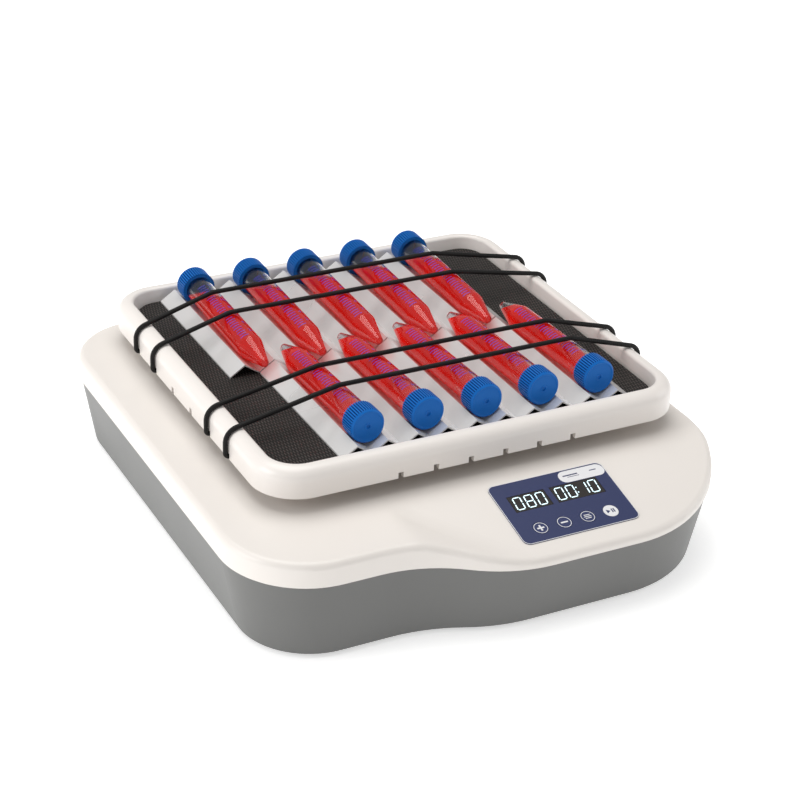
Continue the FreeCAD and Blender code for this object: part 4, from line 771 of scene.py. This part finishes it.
def on_film(across, down, width, depth):
    """A rectangle placed from the middle of the film's back edge."""
    return oblong(PANEL_X + across, PANEL_FOOT + PANEL_D - down, width, depth)


border = bmesh.new()
flat_shape(border, on_film(0, PANEL_D / 2, PANEL_W - INSIDE_FILM, PANEL_D - INSIDE_FILM),
           FILM_CORNER)
piece("panel_border", on_panel(outlined(border, BORDER_LINE), FILM), "key_white", "base", 20)
plate = bmesh.new()
flat_shape(plate, on_film(*PLATE), PLATE_CORNER)
piece("panel_plate", on_panel(plate, FILM), "key_white", "base", 20)
rules = bmesh.new()
for rule in RULES:
    flat_shape(rules, on_film(*rule))
piece("plate_rules", on_panel(rules, FILM + INK, RULE_INK), "overlay_navy", "base", 20)

# %% [markdown]
# ## Digits
# A seven-segment digit is lit from behind a smoked window. Each segment is a narrow
# bar with pointed ends, and the gaps between bars stay dark. The digits lean a
# little, as they do on most instruments.

# %% Seven-segment digits
DIGIT_W, DIGIT_H, STROKE, LEAN = 4.8, 9.7, 0.65, 0.09
BAR_GAP = 0.55
LIT = {"0": "abcdef", "1": "bc", "8": "abcdefg"}
BARS = {"a": (0, 1, 0), "d": (0, -1, 0), "g": (0, 0, 0), "b": (1, 0.5, 1), "c": (1, -0.5, 1),
        "e": (-1, -0.5, 1), "f": (-1, 0.5, 1)}


def bar(work, u, v, length, upright):
    """A bar with pointed ends; an upright one stands on end."""
    half, thick = length / 2, STROKE / 2
    points = [(-half, 0), (-half + thick, -thick), (half - thick, -thick), (half, 0),
              (half - thick, thick), (-half + thick, thick)]
    if upright:
        points = [(-y, x) for x, y in points]
    flat_shape(work, [(u + x, v + y) for x, y in points])


def digit(work, figure, u, v):
    """One figure with its middle at u, v."""
    start = len(work.verts)
    for name in LIT[figure]:
        across, along, upright = BARS[name]
        length = (DIGIT_H / 2 if upright else DIGIT_W) - BAR_GAP
        bar(work, across * DIGIT_W / 2, along * DIGIT_H / 2, length, upright)
    work.verts.ensure_lookup_table()
    fresh = work.verts[start:]
    for vert in fresh:
        vert.co.x += vert.co.y * LEAN
    bmesh.ops.translate(work, verts=fresh, vec=(u * MM, v * MM, 0))


WINDOW_V, WINDOW_TOP, DIGIT_INK = PANEL_FOOT + 32.2, 0.4, 0.08
SPEED_U, SPEED_SHIFTS = PANEL_X - 18.6, (-7.4, 0.1, 7.6)
CLOCK_U, CLOCK_SHIFTS = PANEL_X + 13.5, (-11.4, -4.1, 4.1, 11.2)
DOT_U, DOT, DOT_RISE = PANEL_X + 13.4, 0.8, 2.0


def lay_digits(name, work):
    """Lit figures laid on a display."""
    made = piece(name, on_panel(work, WINDOW_TOP, DIGIT_INK), "lit_segment", "base", 20)


speed = bmesh.new()
for figure, shift in zip("080", SPEED_SHIFTS):
    digit(speed, figure, SPEED_U + shift, WINDOW_V)
lay_digits("speed_digits", speed)
clock = bmesh.new()
for figure, shift in zip("0010", CLOCK_SHIFTS):
    digit(clock, figure, CLOCK_U + shift, WINDOW_V)
for rise in (-DOT_RISE, DOT_RISE):
    flat_shape(clock, oblong(DOT_U + rise * LEAN, WINDOW_V + rise, DOT, DOT))
lay_digits("clock_digits", clock)

# %% [markdown]
# ## Key symbols
# Three keys have a white ring and a symbol on navy; the fourth is all white. Words
# are left out: three short bars stand for the mode key, and a triangle with two
# bars for start and stop. Each symbol rides on its own key, so it moves when the
# key is pressed.

# %% Symbols on the keys
KEY_V, KEY_X, KEY_PITCH, KEY_R = PANEL_FOOT + 10.2, -23.5, 15.7, 4.6
RING_GAP, RING_W, RING_STEPS = 0.35, 0.36, 48
SIGN_W, SIGN_T = 4.6, 1.1
ARM, ARM_RISE = 1.7, 1.45
MODE_BARS = ((1.3, 4.0), (0, 4.8), (-1.3, 4.0))
START_SIGN = ((-2.7, -1.5), (-0.3, 0), (-2.7, 1.5))
PAUSE_SHIFTS, PAUSE_W, PAUSE_D = (0.9, 2.2), 0.7, 3.0


def ring(work, u, v, radius, width):
    """A flat ring."""
    made = bmesh.ops.create_circle(work, cap_ends=True, segments=RING_STEPS,
                                    radius=radius * MM)["verts"]
    bmesh.ops.translate(work, verts=made, vec=(u * MM, v * MM, 0))
    outlined(work, width)


def key_place(k):
    """The middle of a key, counted from the left."""
    return PANEL_X + KEY_X + k * KEY_PITCH, KEY_V


for k, name in enumerate(("plus", "minus", "mode")):
    u, v = key_place(k)
    symbol = bmesh.new()
    ring(symbol, u, v, KEY_R - RING_GAP, RING_W)
    if name == "mode":
        for rise, width in MODE_BARS:
            flat_shape(symbol, oblong(u, v + rise, width, SIGN_T / 2))
    else:
        flat_shape(symbol, oblong(u, v, SIGN_W, SIGN_T))
    if name == "plus":
        for rise in (ARM_RISE, -ARM_RISE):
            flat_shape(symbol, oblong(u, v + rise, SIGN_T, ARM))
    piece(f"{name}_symbol", on_panel(symbol, FILM), "key_white", f"{name}_key", 20)
u, v = key_place(3)
start_symbol = bmesh.new()
flat_shape(start_symbol, [(u + across, v + along) for across, along in START_SIGN])
for shift in PAUSE_SHIFTS:
    flat_shape(start_symbol, oblong(u + shift, v, PAUSE_W, PAUSE_D))
piece("start_symbol", on_panel(start_symbol, FILM), "overlay_navy", "start_key", 20)

# %% [markdown]
# ## Floor and light
# The picture is lit as most catalogue pictures are: a large soft box overhead and
# behind, a second one on the left, a third on the right, and a white surround. The
# front of the base gets the least light, so its grey turns darker there.

# %% Floor and lights
FLOOR_HALF = 6
SURROUND = 0.36
AIM = Vector((0, 0, 0.05))

ground = bmesh.new()
bmesh.ops.create_grid(ground, x_segments=1, y_segments=1, size=FLOOR_HALF)
floor_mesh = bpy.data.meshes.new("floor")
ground.to_mesh(floor_mesh)
ground.free()
finish("floor_white", SKIN, (0.90, 0.90, 0.90), (0.89, 0.89, 0.89), 0.7, 0.05, 0.02, 300.0,
       Emission_Color=(1, 1, 1, 1), Emission_Strength=0.5)
floor_mesh.materials.append(FINISHES["floor_white"])
floor = bpy.data.objects.new("floor", floor_mesh)
bpy.context.collection.objects.link(floor)

world = bpy.data.worlds.new("surround")
world.use_nodes = True
world.node_tree.nodes["Background"].inputs["Color"].default_value = (1.0, 1.0, 1.0, 1)
world.node_tree.nodes["Background"].inputs["Strength"].default_value = SURROUND
bpy.context.scene.world = world


def soft_box(name, place, size, power, tint=(1, 1, 1)):
    """A square area light that faces the part."""
    light = bpy.data.lights.new(name, "AREA")
    light.size, light.energy, light.color = size, power, tint
    holder = bpy.data.objects.new(name, light)
    bpy.context.collection.objects.link(holder)
    holder.location = place
    holder.rotation_euler = (Vector(place) - AIM).to_track_quat("Z", "Y").to_euler()


soft_box("overhead", (-0.1, 0.25, 1.5), 1.3, 14, tint=(1, 0.99, 0.97))
soft_box("left_side", (-1.5, 0.1, 0.7), 0.9, 9)
soft_box("right_side", (1.3, -0.35, 0.55), 0.8, 3)
bpy.context.scene.view_settings.view_transform = "Standard"
